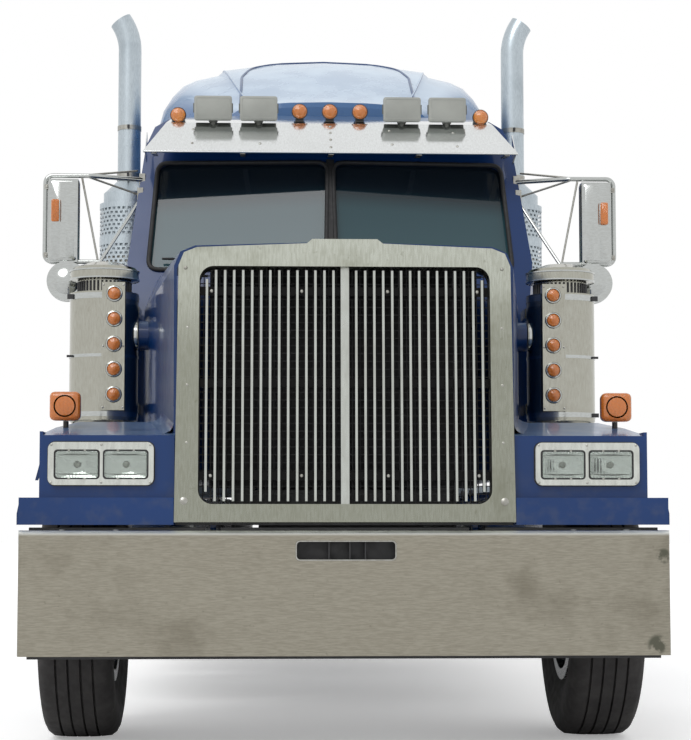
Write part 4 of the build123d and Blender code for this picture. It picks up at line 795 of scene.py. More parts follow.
class TRUCK_OT_nose(bpy.types.Operator):
    """Adds the grille's rivets, the headlamps' dishes and glass, and the turn lamps"""

    bl_idname = "truck.nose"
    bl_label = "Grille and lamps"

    def execute(self, context):
        rivets = Shape()
        outward = -GRILLE_IN
        spots = [(x, up) for up in (178, 888) for x in (-511, -165, 165, 511)]
        rivets.bolts([on_grille(*spot, 44) for spot in spots], outward, 8, 6)
        for x, up, size in ((-609, 80, 15), (603, 77, 15), (-609, 970, 7), (603, 970, 7)):
            rivets.bolt(on_grille(x, up), outward, size, 6)
        rivets.bolts([on_grille(x, up) for x in (-600, 600) for up in (300, 520, 740)], outward, 5, 2)
        make("grille_rivets", rivets, "hood", "bolt_steel")

        screen = Shape()
        for x in range(-540, 541, 30):
            screen.rod(on_grille(x, 66, 62), on_grille(x, 980, 62), 2, 6)
        for up in range(80, 980, 30):
            screen.rod(on_grille(-556, up, 62), on_grille(556, up, 62), 2, 6)
        for x in (-566, 566):
            corners = ((x - 12, 60), (x + 12, 60), (x + 12, 985), (x - 12, 985))
            screen.slab([on_grille(*corner, 54) for corner in corners], GRILLE_IN * 20)
        screen.block((-640, 640), (106, 110), (857, 868))
        make("grille_screen", screen, "hood", "frame_black")

        trim, glass, dish = Shape(), Shape(), Shape()
        trim.rim((719, 1124), (1003, 1173), (30, 24), 7, 99, (0, 3, 0), 1)
        trim.bolts([(x, 78, z) for x in (736, 919.5, 1107) for z in (1017, 1159)], FORWARD, 5, 3)
        for low, high in ((742, 914), (925, 1098)):
            middle = (low + high) / 2
            trim.rim((low, high), (1029, 1141), (14, 11), 6, 79, (0, 20, 0), 1)
            for z in (1031, 1139):
                for x in (middle - 30, middle + 30):
                    trim.block((x - 4, x + 4), (77, 80), (z - 4, z + 4))
            inner = rounded((low + 6, high - 6), (1035, 1135), 11)
            face = rounded((low + 14, high - 14), (1043, 1127), 9)
            glass.loft([stood(inner, 86), stood(inner, 82), stood(face, 79)])
            deep = [(middle + 34 * cos(a), 1085 + 30 * sin(a)) for a in arc_angles(20)]
            dish.loft([stood(inner, 87), stood(inner, 90), stood(deep, 98)], capped=False)
            dish.slab(stood(deep, 98), (0, 1.5, 0))
            dish.lathe((middle, 98, 1085), FORWARD, [(0, 13), (6, 13), (7, 9), (9, 8), (11, 0)], 18, 1)
            for z in (1050, 1120):
                dish.block((low + 10, high - 10), (90, 93), (z - 1, z + 1), 1)
        make("headlamp_gaskets", trim.both_sides(), "hood", "bolt_steel seal_rubber")
        make("headlamp_glass", glass.both_sides(), "hood", "lamp_glass", ["headlamp_lenses"])
        make("headlamp_dishes", dish.both_sides(), "hood", "mirror_metal cover_grey")

        lamps = Shape()
        lamps.pad((1032, 1152), (1266, 1380), 20, [(385, 12), (390, 4), (397, 0), (424, 0)])
        lamps.rim((1035, 1149), (1269, 1377), (19, 12), 11, 424, (0, 7, 0), 1)
        body = ((1034, 1150), (1268, 1378))
        lamps.loft(pads(*body, 20, [(431, 0), (448, 0)]) + pads(*body, 16, [(460, 10)]), 1)
        lamps.lathe((1092, 386, 1323), FORWARD, [(0, 46), (1, 44), (1, 38), (0, 36)], 28)
        lamps.rod((1092, 440, 1266), (1092, 440, 1234), 11, 14, 1)
        foot = [(0, 0), (0, 13), (4, 26), (9, 30), (30, 30), (30, 0)]
        lamps.lathe((1092, 440, 1236), DOWN, foot, 18, 1)
        lamps.bolts([(x, 397, 1368) for x in (1046, 1138)], FORWARD, 4, 3, 2)
        finishes = "amber_lens lamp_dark bolt_steel"
        make("turn_lamp_lenses", lamps.both_sides(), "hood", finishes, ["turn_lamps"])

        fillet = Shape()
        rows = []
        for y, top in ((176, 1207), (400, 1240), (700, 1281), (1000, 1268), (1190, 1215), (1270, 1120)):
            side = 638 + 230 * (y - 60) / 1630
            curve = ((-3, 52), (2, 26), (12, 10), (28, 1), (56, -6))
            rows.append([(side + out, y, top + rise) for out, rise in curve])
        fillet.grid(rows)
        for y in (1440, 1600):
            side = 640 + 230 * (y - 60) / 1630
            fillet.block((side - 4, side + 16), (y - 14, y + 14), (1075, 1175), 1)
            fillet.rod((side + 12, y - 22, 1150), (side + 12, y + 22, 1150), 9, 10, 2)
        make("fender_fillets", fillet.both_sides(), "hood", "body_blue seal_rubber bolt_steel")
        return {"FINISHED"}


def pane(across, up, out=0.0):
    """A point on the left windshield pane's plane."""
    outward = Vector((882, 60, 0)).normalized()
    normal = outward.cross(Vector((0, 210, 600))).normalized()
    return Vector((0, 1790, 2040)) + outward * across + normal.cross(outward) * up + normal * out


def on_visor(x, share, out=0.0):
    """A point on the sun visor: across, the share of its height and out from it."""
    return Vector((x, 1822 + 208 * share, 2618 + 179 * share)) + VISOR_OUT * out


class TRUCK_OT_windshield(bpy.types.Operator):
    """Adds the windshield's seals, wipers and divider, and the visor's seam and rivets"""

    bl_idname = "truck.windshield"
    bl_label = "Windshield and visor"

    def execute(self, context):
        seals = Shape()
        corners = ((400, 14), (868, 14), (846, 590), (25, 590), (25, 14), (400, 14))
        seals.tube(bent([pane(*corner, 4) for corner in corners], 55, 6), 11)
        seals.slab([pane(*corner, 3) for corner in ((-6, 0), (30, 0), (30, 604), (-6, 604))], (0, -5, 1))
        seals.tube([pane(250, 46, 13), pane(800, 66, 13)], 5, 6)
        seals.tube([pane(250, 46, 18), pane(520, 54, 30), pane(800, 66, 18)], 4, 6, 1)
        seals.tube([pane(230, -22, 16), pane(250, -4, 30), pane(525, 56, 34)], 7, 8, 1)
        seals.lathe(pane(230, -24, 0), (0, -1, 0.3), [(0, 20), (18, 18), (22, 0)], 16, 1)
        make("windshield_seals", seals.both_sides(), "chassis", "seal_rubber frame_black")

        visor = Shape()
        corners = ((-34, 0.01), (34, 0.01), (34, 0.99), (-34, 0.99))
        visor.slab([on_visor(*corner) for corner in corners], VISOR_OUT * 2)
        visor.bolts([on_visor(0, share, 2) for share in (0.88, 0.65, 0.41, 0.15)], VISOR_OUT, 7, 4, 1)
        spots = ((-661, 0.76), (-661, 0.27), (-338, 0.27), (286, 0.76), (294, 0.27), (593, 0.70), (605, 0.22))
        visor.bolts([on_visor(*spot) for spot in spots], VISOR_OUT, 7, 4, 1)
        visor.tube([(x, 1824, 2615) for x in (-888, 0, 888)], 6, 10)
        for middle in (-840, -420, 0, 420, 840):
            low, high = [(x, 1828, 2606) for x in (-12, 12)], [(x, 1985, 2622) for x in (12, -12)]
            visor.slab([(middle + x, y, z) for x, y, z in low + high], (0, 0, 5), 1)
        make("visor_seam", visor, "chassis", "visor_metal bolt_steel")
        return {"FINISHED"}


CAP_NEAR = (
    (500, 2830), (500, 2852), (494, 2875), (478, 2898), (455, 2914), (425, 2926), (395, 2934), (372, 2946),
    (190, 2958), (0, 2962),
)
CAP_FAR = (
    (905, 2830), (905, 3040), (885, 3114), (836, 3193), (777, 3255), (707, 3288), (583, 3317), (549, 3347),
    (263, 3387), (0, 3397),
)
CAP_STATIONS = (
    2292, 2300, 2330, 2380, 2450, 2540, 2650, 2780, 2920, 3060, 3200, 3320, 3400, 3480, 3900, 4400, 4800, 4845,
    4860,
)
CAP_SINKS = {2292: 26, 4845: 8, 4860: 40}


def cap_section(y):
    """The roof cap's half section at a station, from its foot to its crown."""
    turn = min(max((y - 2300) / 1100, 0.0), 1.0) * pi / 2
    spread, rise = sin(turn) ** 0.85, sin(turn) ** 1.12
    return [(a + (c - a) * spread, b + (d - b) * rise) for (a, b), (c, d) in zip(CAP_NEAR, CAP_FAR)]


def on_cap(x, y, out=0.0):
    """A point on the roof cap's skin."""
    section = cap_section(y)
    for (far_x, low), (near_x, high) in zip(section, section[1:]):
        if near_x <= abs(x) <= far_x and far_x > near_x:
            share = (far_x - abs(x)) / (far_x - near_x)
            return Vector((x, y, low + (high - low) * share + out))
    return Vector((x, y, section[0][1] + out))


class TRUCK_OT_roof(bpy.types.Operator):
    """Builds the sculpted roof cap and the lamps on the roof"""

    bl_idname = "truck.roof"
    bl_label = "Roof"

    def execute(self, context):
        cap = Shape()
        rows = []
        for y in CAP_STATIONS:
            sink = CAP_SINKS.get(y, 0)
            half = [(x - sink * 0.6, z - (sink if i > 1 else 0)) for i, (x, z) in enumerate(cap_section(y))]
            half[0] = (half[0][0], 2828)
            rows.append(stood(half + [(-x, z) for x, z in reversed(half[:-1])], y))
        cap.grid(rows)
        for row in (rows[0], rows[-1]):
            cap.add(row, [tuple(range(len(row)))])
        make("roof_cap_skin", cap, "chassis", "roof_blue", ["roof_cap"], sharp=24)

        lines = Shape()
        arch = [(-440, 2360), (-440, 2800), (-380, 3060), (0, 3170), (380, 3060), (440, 2800), (440, 2360)]
        arch = bent(laid(arch, 0), 160, 8)
        dense = [a.lerp(b, k / 4) for a, b in zip(arch, arch[1:]) for k in range(4)] + [arch[-1]]
        lines.tube([on_cap(point.x, point.y, -2) for point in dense], 8, 8)
        for side in (-1, 1):
            edge = [on_cap(side * (cap_section(y)[7][0] + 4), y, 1) for y in CAP_STATIONS[2:-2]]
            lines.tube(edge, 5, 6, 1)
        lines.tube(laid(((-512, 2300), (-512, 2290), (512, 2290), (512, 2300)), 2853), 7, 6)
        make("roof_cap_lines", lines, "chassis", "body_blue roof_blue")

        domes, rims = Shape(), Shape()
        dome = [(0, 35), (6, 35), (7, 33), (14, 32), (15, 29), (22, 26), (23, 22), (28, 14), (30, 0)]
        for x, z in ((-737, 2838), (-147, 2860), (0, 2860), (147, 2860), (737, 2838)):
            domes.lathe((x, 2052, z), FORWARD, dome, 28)
            rims.lathe((x, 2120, z), FORWARD, [(0, 30), (40, 36), (60, 39), (70, 39), (72, 35)], 28)
            rims.block((x - 20, x + 20), (2060, 2110), (z - 48, z - 24))
        dome = [(0, 27), (5, 27), (6, 25), (10, 23), (11, 18), (15, 12), (17, 0)]
        rim = [(0, 37), (5, 37), (9, 34), (10, 30), (6, 28), (0, 28)]
        for x in (-978, 978):
            for z in range(1878, 1429, -112):
                domes.lathe((x, 1318, z), FORWARD, dome, 28)
                rims.lathe((x, 1322, z), FORWARD, rim, 32, 1)
        make("amber_domes", domes, "chassis", "amber_lens", ["amber_lamps"], sharp=50)
        make("amber_rims", rims, "chassis", "lamp_dark mirror_metal")

        boxes = Shape()
        for x in (-566, -346, 349, 569):
            sides = ((x - 91, x + 91), (2803, 2921))
            boxes.pad(*sides, 12, [(1984, 5), (1988, 0), (2012, 0)])
            boxes.pad(*sides, 12, [(2012, 5), (2040, 7), (2064, 20)], 1)
            boxes.rim((x - 82, x + 82), (2812, 2912), (9, 7), 4, 1983, (0, 3, 0))
            for edge in (x - 93, x + 93):
                boxes.block((edge - 3, edge + 3), (1995, 2006), (2840, 2886), 1)
            boxes.rod((x, 2026, 2760), (x, 2026, 2808), 11, 12, 1)
            boxes.lathe((x, 2026, 2806), DOWN, [(0, 22), (6, 22), (8, 0)], 14, 1)
        finishes = "cover_grey cover_edge"
        make("box_lamp_covers", boxes, "chassis", finishes, ["roof_box_lamps"], bevel=1.5)
        return {"FINISHED"}


class TRUCK_OT_sides(bpy.types.Operator):
    """Adds the mirrors' backs and glass, the air cleaners' bands and the stacks' guards and clamps"""

    bl_idname = "truck.sides"
    bl_label = "Mirrors, cleaners and stacks"

    def execute(self, context):
        heads, glass = Shape(), Shape()
        heads.pad((1191, 1336), (2082, 2483), 16, [(1893, 0), (1836, 0), (1822, 5), (1814, 16)])
        heads.loft([laid(((1246, 1815), (1262, 1806), (1278, 1815)), z) for z in (2104, 2461)])
        bowl = [(0, 96), (12, 96), (24, 92), (44, 76), (60, 50), (68, 20), (70, 0)]
        heads.lathe(MIRROR_BOWL, FORWARD, bowl, 36)
        heads.lathe((1243, 1850, 2072), UP, [(-4, 16), (16, 16), (18, 0)], 16, 1)
        for z in (2120, 2445):
            heads.block((1330, 1354), (1838, 1862), (z - 12, z + 12), 1)
            heads.bolt((1342, 1838, z), FORWARD, 7, 5, 1)
        heads.rod((930, 2040, 2560), (1140, 1852, 2506), 5, 10, 1)
        heads.rod((918, 2028, 2440), (1170, 1850, 2502), 5, 10, 1)
        heads.rod((1100, 1850, 2092), (1180, 1850, 2500), 5, 10, 1)
        for x, y, z in ((906, 2036, 2513), (914, 2016, 2441)):
            heads.block((x - 14, x + 14), (y - 22, y + 22), (z - 30, z + 30), 1)
        glass.pad((1199, 1328), (2090, 2475), 12, [(1893, 0), (1896, 0)])
        glass.lathe(MIRROR_BOWL, BACK, [(0, 89), (3, 85), (7, 55), (9, 0)], 32)
        finishes = "mirror_metal bolt_steel"
        make("mirror_backs", heads.both_sides(), "chassis", finishes, bevel=0.8)
        make("mirror_glass", glass.both_sides(), "chassis", "pane_dark")
        amber = Shape()
        amber.pad((1281, 1317), (2275, 2381), 8, [(1818, 0), (1808, 0), (1804, 4)])
        make("mirror_lamps", amber.both_sides(), "chassis", "amber_lens")

        bands = Shape()
        for z, wide in ((1862, 26), (1600, 14), (1335, 22)):
            bands.band((*CLEANER, z), UP, (150, 157), wide, 48)
            bands.block((1170, 1196), (1416, 1424), (z + 2, z + wide - 2), 1)
        for z in (1958, 1995, 1290):
            bands.lathe((*CLEANER, z), UP, [(-4, 154), (-3, 158), (3, 158), (4, 154)], 48)
        for angle in arc_angles(40):
            at = Vector((CLEANER[0] + 118 * cos(angle), CLEANER[1] + 118 * sin(angle), 1900))
            bands.rod(at, at + Vector((0, 0, 46)), 5, 6, 1)
        bands.lathe((*CLEANER, 2036), UP, [(-4, 16), (2, 16), (2.5, 0)], 16)
        for x in (892, 940):
            bands.lathe((x, 1500, 1707), LEFT, [(-7, 66), (-6, 71), (6, 71), (7, 66)], 32)
        bands.bolts([(x, 1322, z) for x in (938, 1026) for z in (1372, 1645, 1918)], FORWARD, 5, 3, 2)
        finishes = "mirror_metal frame_black bolt_steel"
        make("cleaner_bands", bands.both_sides(), "chassis", finishes)

        guard = Shape()
        columns, rows, low, high, hole = 34, 50, 1476, 2612, 0.58
        for r in range(rows):
            z0, z1 = (low + (high - low) * k / rows for k in (r, r + 1))
            zm = (z0 + z1) / 2
            if 2405 < zm < 2450:
                continue
            for c in range(columns):
                a0, a1 = (2 * pi * (k + 0.5 * (r % 2)) / columns for k in (c, c + 1))
                am = (a0 + a1) / 2
                around = [(a0, z0), (a1, z0), (a1, z1), (a0, z1)]
                around += [(am + (a - am) * hole, zm + (z - zm) * hole) for a, z in around]
                points = [(STACK[0] + 160 * cos(a), STACK[1] + 160 * sin(a), z) for a, z in around]
                guard.add(points, [(i, (i + 1) % 4, (i + 1) % 4 + 4, i + 4) for i in range(4)])
        for z0, z1 in ((1450, 1478), (2403, 2452), (2608, 2639)):
            guard.band((*STACK, z0), UP, (142, 162), z1 - z0, 48)
        guards = ["muffler_guards"]
        make("guard_screens", guard.both_sides(), "chassis", "stack_metal", guards, sharp=50)

        stacks = Shape()
        for z, wide, radius in ((2776, 40, 68), (3060, 26, 67), (1190, 40, 68)):
            stacks.band((*STACK, z), UP, (64, radius), wide, 40)
            stacks.block((1078, 1090), (3462, 3490), (z + 4, z + wide - 4), 1)
        for z in (1700, 2300):
            stacks.block((905, 1084), (3540, 3560), (z, z + 40), 1)
            stacks.band((*STACK, z), UP, (141, 145), 40, 40)
        stacks.block((888, 904), (3330, 3350), (2640, 2770), 2)
        finishes = "bolt_steel frame_black cover_grey"
        make("stack_clamps", stacks.both_sides(), "chassis", finishes)
        return {"FINISHED"}


class TRUCK_OT_cab(bpy.types.Operator):
    """Adds door handles, seals, grab rails, the sleeper's windows, doors, vents and seams"""

    bl_idname = "truck.cab"
    bl_label = "Cab and sleeper trim"

    def execute(self, context):
        door = Shape()
        window = ((2470, 2095), (2065, 2095), (2145, 2600), (2880, 2600), (2880, 2095), (2470, 2095))
        leaning = [(CAB_SIDE - (60 * (z - 2085) / 512 if z > 2085 else 0), y, z) for y, z in window]
        door.tube(bent(leaning, 45, 5), 10, 8)
        door.pad((2800, 2925), (1560, 1640), 22, [(962, 0), (967, 0)], 0, sided)
        door.pad((2815, 2905), (1588, 1614), 9, [(966, 0), (984, 2), (990, 10)], 1, sided, 0.4)
        door.bolt((965, 2870, 1535), LEFT, 14, 8, 1)
        door.block((963, 967), (2005, 2930), (1165, 1215), 1)
        door.block((963, 968), (2010, 2935), (2048, 2072), 1)
        door.bolts([(966, y, 1190) for y in range(2030, 2930, 60)], LEFT, 5, 3, 1)
        for side, piece in (("left", door), ("right", door.turned_over())):
            finishes = "seal_rubber mirror_metal"
            make(f"door_trim_{side}", piece, f"door_{side}", finishes, bevel=0.8)

        cab = Shape()
        low, high = 1350, 2350
        for y in (3005, 3190):
            cab.tube(bent([(962, y, low), (1010, y, low), (1010, y, high), (935, y, high)], 30, 5), 13, 12)
            for z in (low, high):
                cab.lathe((940, y, z), LEFT, [(0, 26), (26, 26), (30, 20), (31, 0)], 18)
        cab.bolts([(CAB_SIDE, 1900, z) for z in range(1160, 2060, 70)], LEFT, 6, 3, 1)
        cab.block((963, 966), (1740, 3215), (1090, 1125), 2)
        cab.block((-905, 905), (3226, 3239), (2842, 2856), 3)
        cab.block((880, 912), (3224, 3241), (1100, 2830), 3)
        for x in range(-640, 641, 160):
            cab.block((x - 62, x + 62), (1730, 1760), (2008, 2016), 3)
        finishes = "mirror_metal bolt_steel body_blue seal_rubber"
        make("cab_rails", cab.both_sides(), "chassis", finishes)

        box = Shape()
        box.rim((3606, 4094), (2166, 2534), (70, 60), 14, SLEEPER_SIDE, (9, 0, 0), 0, sided)
        box.pad((3620, 4080), (2180, 2520), 60, [(903, 0), (907, 0)], 1, sided)
        for y, z in (((3330, 3600), (1180, 1720)), ((3900, 4760), (1180, 1560))):
            box.rim(y, z, (34, 28), 9, SLEEPER_SIDE, (3, 0, 0), 0, sided)
            latch = ((y[1] - 110, y[1] - 40), (z[1] - 110, z[1] - 60))
            box.pad(*latch, 10, [(904, 0), (911, 0)], 2, sided)
        for z in range(2560, 2689, 16):
            vent = sided(((4350, z), (4640, z), (4640, z + 7), (4350, z + 7)), SLEEPER_SIDE)
            box.slab(vent, (7, 0, 5))
        spots = [(y, z) for y in (3310, 4770) for z in range(1150, 2800, 75)]
        spots += [(y, z) for y in range(3360, 4760, 75) for z in (1112, 2800)]
        box.bolts(sided(spots, 904.5), LEFT, 6, 3, 2)
        rail = [(905, 4700, 1300), (950, 4700, 1300), (950, 4700, 1900), (905, 4700, 1900)]
        box.tube(bent(rail, 30, 5), 12, 10, 2)
        box.pad((4180, 4260), (1100, 1130), 10, [(904, 0), (915, 0), (920, 6)], 3, sided)
        spots = [(x, z) for x in (300, 600, 820) for z in range(1160, 2790, 90)]
        box.bolts(stood(spots, 4859.5), BACK, 6, 3, 2)
        box.rim((180, 620), (2150, 2480), (60, 50), 14, SLEEPER_BACK, (0, 9, 0))
        box.pad((194, 606), (2164, 2466), 50, [(4858, 0), (4862, 0)], 1)
        finishes = "seal_rubber pane_dark mirror_metal amber_lens"
        make("sleeper_trim", box.both_sides(), "chassis", finishes, bevel=0.6)
        return {"FINISHED"}


class TRUCK_OT_chassis(bpy.types.Operator):
    """Adds tank straps, steps, the deck, air tanks, lines, fifth wheel parts and frame bolts"""

    bl_idname = "truck.chassis"
    bl_label = "Chassis trim"

    def execute(self, context):
        tanks = Shape()
        for y in (2300, 2700, 3060):
            tanks.band((TANK[0], y, TANK[1]), BACK, (319, 323), 56, 56)
            tanks.block((700, 720), (y + 8, y + 48), (1000, 1024), 1)
        for y, way in ((2051, FORWARD), (3349, BACK)):
            tanks.lathe((TANK[0], y, TANK[1]), way, [(-8, 290), (0, 250), (4, 120), (5, 0)], 48)
        filler = [(-20, 50), (24, 50), (28, 58), (48, 58), (52, 50), (52, 0)]
        tanks.lathe((950, 2480, 970), (0.45, 0, 1), filler, 28, 1)
        for z, reach in ((585, 1190), (875, 1150)):
            for x in range(reach - 135, reach - 26, 36):
                tanks.block((x, x + 14), (2262, 3138), (z, z + 5), 1)
            for y in range(2290, 3130, 70):
                tanks.rod((reach - 75, y, z), (reach - 75, y, z + 7), 14, 10, 1)
        finishes = "mirror_metal bolt_steel"
        make("tank_straps", tanks.both_sides(), "chassis", finishes, bevel=0.8)

        boxes = Shape()
        boxes.rim((3790, 4730), (520, 950), (26, 20), 10, TOOL_BOX_SIDE, (3, 0, 0), 1, sided)
        for y in (3900, 4260, 4620):
            boxes.pad((y - 26, y + 26), (860, 920), 8, [(1089, 0), (1099, 2)], 0, sided)
            boxes.block((TOOL_BOX_SIDE, 1094), (y - 60, y + 60), (600, 612))
        for x in range(470, 1060, 46):
            boxes.block((x, x + 16), (3775, 4745), (989, 994))
        air_tank = [(0, 0), (4, 60), (22, 104), (40, 110), (180, 110), (198, 104), (216, 60), (220, 0)]
        for y in (5020, 5260):
            boxes.lathe((560, y, 800), BACK, air_tank, 32, 1)
            for step in (50, 150):
                boxes.band((560, y + step, 800), BACK, (111, 114), 18, 32)
            boxes.block((430, 470), (y + 50, y + 168), (780, 830), 1)
        finishes = "mirror_metal frame_black"
        make("tool_box_doors", boxes.both_sides(), "chassis", finishes, bevel=1.0)

        rails = Shape()
        rails.bolts([(432, y, z) for y in range(1500, 7850, 210) for z in (775, 955)], LEFT, 11, 8)
        bellows = [(0, 122), (24, 132), (48, 122), (72, 132), (96, 122), (120, 118)]
        for _, y in DRIVE_AXLES:
            for reach in (-250, 250):
                rails.nut((432, y + reach, 830), LEFT, 16, 14)
            rails.lathe((387, y + 350, 590), UP, bellows, 28, 1)
        for x in (220, 330):
            rails.lathe((x, 7950, 925), BACK, [(-44, 56), (-12, 56), (-6, 52)], 28, 1)
            rails.lathe((x, 7946, 925), BACK, [(0, 50), (2, 46), (3, 30), (3.9, 0)], 28, 2)
        rails.block((640, 1200), (7884, 7889), (880, 905))
        rails.bolts([(x, 7884, 892) for x in (700, 920, 1140)], FORWARD, 10, 8)
        finishes = "bolt_steel seal_rubber red_lens"
        make("frame_bolts", rails.both_sides(), "chassis", finishes)

        deck = Shape()
        deck.block((-430, 430), (4885, 5480), (1001, 1007))
        for i, x in enumerate(range(-410, 411, 34)):
            for j, y in enumerate(range(4900, 5470, 34)):
                turn = 9 if (i + j) % 2 else -9
                corners = ((-10, -turn - 2), (10, turn - 2), (10, turn + 2), (-10, -turn + 2))
                deck.slab(laid([(x + dx, y + dy) for dx, dy in corners], 1007), (0, 0, 2))
        make("deck_plate", deck, "chassis", "tank_aluminium")

        lines = Shape()
        for index, x in enumerate((-90, 0, 90)):
            coil = [(x + 34 * cos(k * 0.7), 4905 + 34 * sin(k * 0.7), 1900 - k * 5.2) for k in range(110)]
            lines.tube(coil, 7, 6, index)
            upper = [(x + 34, 4905, 1900), (x, 4890, 1960), (x, 4862, 1960)]
            lines.tube(bent(upper, 20, 4), 8, 8, index)
            lower = [coil[-1], (x, 4905, 1280), (x, 4905, 1040), (x, 4960, 1020)]
            lines.tube(bent(lower, 30, 4), 8, 8, index)
            lines.lathe((x, 4860, 1960), BACK, [(0, 24), (12, 24), (14, 14), (20, 0)], 16, 3)
        finishes = "seal_rubber line_red line_blue bolt_steel"
        make("air_lines", lines, "chassis", finishes)

        wheel = Shape()
        for radius in (150, 230, 310):
            arc = [radians(k) for k in range(150, 391, 6)]
            points = [(radius * cos(a), FIFTH_WHEEL[0] + radius * sin(a), FIFTH_WHEEL[1]) for a in arc]
            for a, b in zip(points, points[1:]):
                wheel.rod(a, b, 2.2, 5)
        spots = [(x, y) for x in (-376, -336, 336, 376) for y in (6480, 6620)]
        wheel.bolts(laid(spots, FIFTH_WHEEL[1]), UP, 13, 3, 1)
        handle = laid(((200, 6440), (520, 6440), (560, 6400), (560, 6330)), 1195)
        wheel.tube(bent(handle, 25, 4), 10, 10, 1)
        wheel.block((-300, 300), (6700, 6712), (1141, 1183), 1)
        make("fifth_wheel_trim", wheel, "fifth_wheel", "lamp_dark worn_iron")
        return {"FINISHED"}


class TRUCK_OT_interior(bpy.types.Operator):
    """Builds the seats, the bunk's mattress and pillow, the gauges and the steering wheel's grip"""

    bl_idname = "truck.interior"
    bl_label = "Interior"

    def execute(self, context):
        seats = Shape()
        for x in (-450, 450):
            for z0, z1, half in ((1131, 1160, 180), (1160, 1420, 164), (1420, 1480, 180)):
                seats.pad((x - half, x + half), (2490, 2850), 30, [(z0, 0), (z1, 0)], 1, laid)
            cushion = [(1480, 24), (1500, 2), (1590, 0), (1612, 12), (1622, 50)]
            seats.pad((x - 262, x + 262), (2420, 2950), 70, cushion, 0, laid)
            back = (
                (1600, 2835, 2965, 0), (1900, 2870, 3005, 0), (2200, 2915, 3045, 12), (2380, 2950, 3068, 40),
                (2440, 2975, 3075, 80),
            )
            seats.loft([laid(rounded((x - 250 + i, x + 250 - i), (a, b), 48), z) for z, a, b, i in back])
            head = [(2448, 30), (2470, 4), (2560, 4), (2590, 30)]
            seats.pad((x - 140, x + 140), (2985, 3075), 26, head, 0, laid, 0.5)
            for arm in (x - 268, x + 268):
                seats.rod((arm, 2900, 1860), (arm, 2560, 1850), 24, 12, 1)
        make("seat_cushions", seats, "chassis", "seat_cloth dash_dark", ["seats"], sharp=30)

        bunk = Shape()
        bunk.block((-854, 854), (3912, 4808), (1132, 1548), 1)
        for z in (1250, 1400):
            bunk.block((-820, -40), (3906, 3914), (z - 60, z + 60), 2)
            bunk.block((40, 820), (3906, 3914), (z - 60, z + 60), 2)
        mattress = [(1550, 12), (1570, 0), (1690, 0), (1712, 14), (1719, 40)]
        bunk.pad((-852, 852), (3914, 4806), 50, mattress, 0, laid)
        pillow = [(1720, 60), (1745, 6), (1790, 4), (1825, 40), (1836, 110)]
        bunk.loft([
            laid(rounded((-810 + i, -330 - i * 0.6), (4060 + i, 4640 - i), 60), z) for z, i in pillow
        ], 3)
        finishes = "seat_cloth dash_dark cover_edge cover_grey"
        make("bunk_bedding", bunk, "chassis", finishes, ["bunk"], sharp=30)

        dash = Shape()
        for z, radius in ((1760, 30), (1875, 36)):
            for x in range(300, 640, 85):
                gauge = [(0, radius), (12, radius), (14, radius - 5), (4, radius - 7), (4, 0)]
                dash.lathe((x, 2092 + (1875 - z) * 0.12 + 20, z), (0, 1, 0.1), gauge, 24)
        side = Vector(LEFT)
        up = Vector((0, 270, 190)).normalized().cross(side)
        hub = Vector((450, 2330, 1890))
        ring = [hub + (side * cos(a) + up * sin(a)) * 214 for a in arc_angles(40)]
        dash.tube(ring + ring[:2], 26, 10)
        dash.rod((60, 2200, 1134), (40, 2330, 1620), 13, 12, 1)
        dash.lathe((40, 2330, 1620), (-0.1, 0.2, 1), [(-20, 20), (0, 32), (30, 34), (50, 22), (56, 0)], 18)
        make("dash_gauges", dash, "chassis", "dash_dark bolt_steel")
        return {"FINISHED"}


# The camera's place across and ahead of the bumper in metres, and its tilt and turn in degrees
EYE_ACROSS, EYE_AHEAD, EYE_TILT, EYE_TURN = -0.281, 7.2, 4.45, -2.215


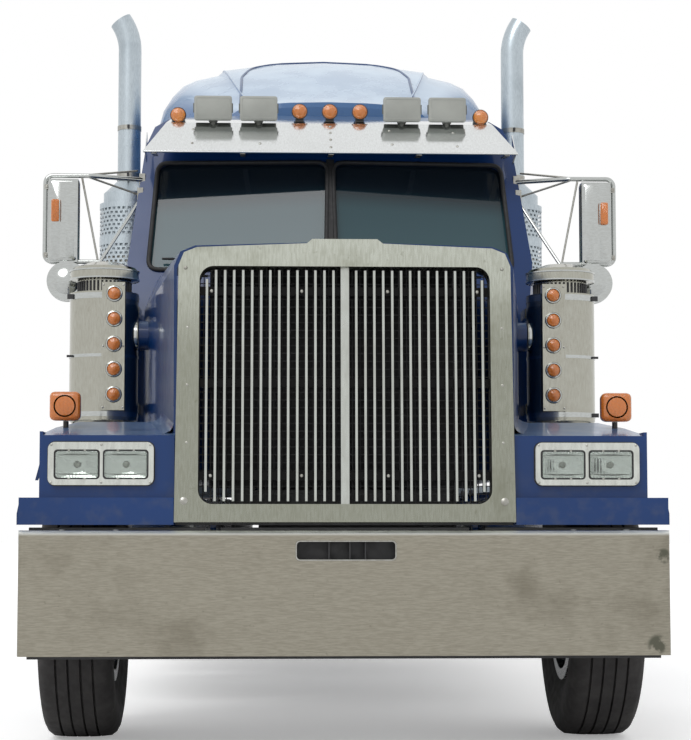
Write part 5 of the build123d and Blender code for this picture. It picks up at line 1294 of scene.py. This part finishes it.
class TRUCK_OT_studio(bpy.types.Operator):
    """Sets up the floor, the lights and the camera"""

    bl_idname = "truck.studio"
    bl_label = "Studio"

    def execute(self, context):
        studio = context.scene.truck_studio
        scene = context.scene
        scene.view_settings.view_transform = "Standard"

        ground = bmesh.new()
        bmesh.ops.create_circle(ground, cap_ends=True, segments=96, radius=60.0)
        mesh = bpy.data.meshes.new("studio_floor")
        ground.to_mesh(mesh)
        ground.free()
        floor = bpy.data.objects.new("studio_floor", mesh)
        scene.collection.objects.link(floor)
        pale = plain("floor_pale", (0.97, 0.97, 0.97), 0.75, 8.0, 0.0, 0.01)
        seen = pale.node("ShaderNodeLightPath").outputs["Is Camera Ray"]
        pale.shader.inputs["Emission Color"].default_value = WHITE
        pale.link(pale.maths("MULTIPLY", seen, 0.30), "Emission Strength")
        mesh.materials.append(pale.material)

        world = bpy.data.worlds.new("studio_air")
        scene.world = world
        world.use_nodes = True
        tree = world.node_tree
        tree.nodes.clear()
        rays = add_node(tree, "ShaderNodeLightPath").outputs
        seen = rays["Is Camera Ray"]
        for other in ("Is Glossy Ray", "Is Transmission Ray"):
            seen = add_node(tree, "ShaderNodeMath", {0: seen, 1: rays[other]}, operation="MAXIMUM").outputs[0]
        sockets = {"Value": seen, "To Min": studio.sky_light, "To Max": 1.0}
        strength = add_node(tree, "ShaderNodeMapRange", sockets).outputs["Result"]
        background = add_node(tree, "ShaderNodeBackground", {"Color": WHITE, "Strength": strength})
        add_node(tree, "ShaderNodeOutputWorld", {"Surface": background.outputs[0]})

        key = bpy.data.lights.new("key_light", "SUN")
        key.energy = studio.key_light
        key.angle = radians(35)
        lamp = bpy.data.objects.new("key_light", key)
        lamp.rotation_euler = (radians(48), 0, radians(-28))
        scene.collection.objects.link(lamp)

        camera = bpy.data.cameras.new("studio_camera")
        camera.sensor_fit = "HORIZONTAL"
        camera.sensor_width = 36.0
        camera.lens = studio.lens_length
        camera.clip_end = 200.0
        eye = bpy.data.objects.new("studio_camera", camera)
        eye.location = (EYE_ACROSS, BUMPER_FACE - EYE_AHEAD, studio.camera_height)
        eye.rotation_euler = (radians(90 + EYE_TILT), 0, radians(EYE_TURN))
        scene.collection.objects.link(eye)
        scene.camera = eye
        return {"FINISHED"}


class TRUCK_PT_builder(bpy.types.Panel):
    """Lists the steps that dress the truck"""

    bl_label = "Truck"
    bl_idname = "TRUCK_PT_builder"
    bl_space_type = "VIEW_3D"
    bl_region_type = "UI"
    bl_category = "Truck"

    def draw(self, context):
        layout = self.layout
        for group in GROUPS:
            values = getattr(context.scene, group)
            box = layout.box()
            for name in values.__annotations__:
                box.prop(values, name)
        for operator in STEPS:
            layout.operator(operator.bl_idname)


GROUPS = {"truck_finish": TruckFinish, "truck_tyre": TruckTyre, "truck_studio": TruckStudio}
STEPS = (
    TRUCK_OT_finishes,
    TRUCK_OT_tyres,
    TRUCK_OT_wheel_trim,
    TRUCK_OT_bumper,
    TRUCK_OT_nose,
    TRUCK_OT_windshield,
    TRUCK_OT_roof,
    TRUCK_OT_sides,
    TRUCK_OT_cab,
    TRUCK_OT_chassis,
    TRUCK_OT_interior,
    TRUCK_OT_studio,
)
CLASSES = (*GROUPS.values(), *STEPS, TRUCK_PT_builder)


def register():
    """Registers the classes and the values that a user would change."""
    for item in CLASSES:
        bpy.utils.register_class(item)
    for name, group in GROUPS.items():
        setattr(bpy.types.Scene, name, PointerProperty(type=group))


def unregister():
    """Takes the classes and the values out again."""
    for name in GROUPS:
        delattr(bpy.types.Scene, name)
    for item in reversed(CLASSES):
        bpy.utils.unregister_class(item)


def main():
    """Dresses the truck step by step."""
    register()
    for operator in STEPS:
        group, name = operator.bl_idname.split(".")
        getattr(getattr(bpy.ops, group), name)()


if __name__ == "__main__":
    main()
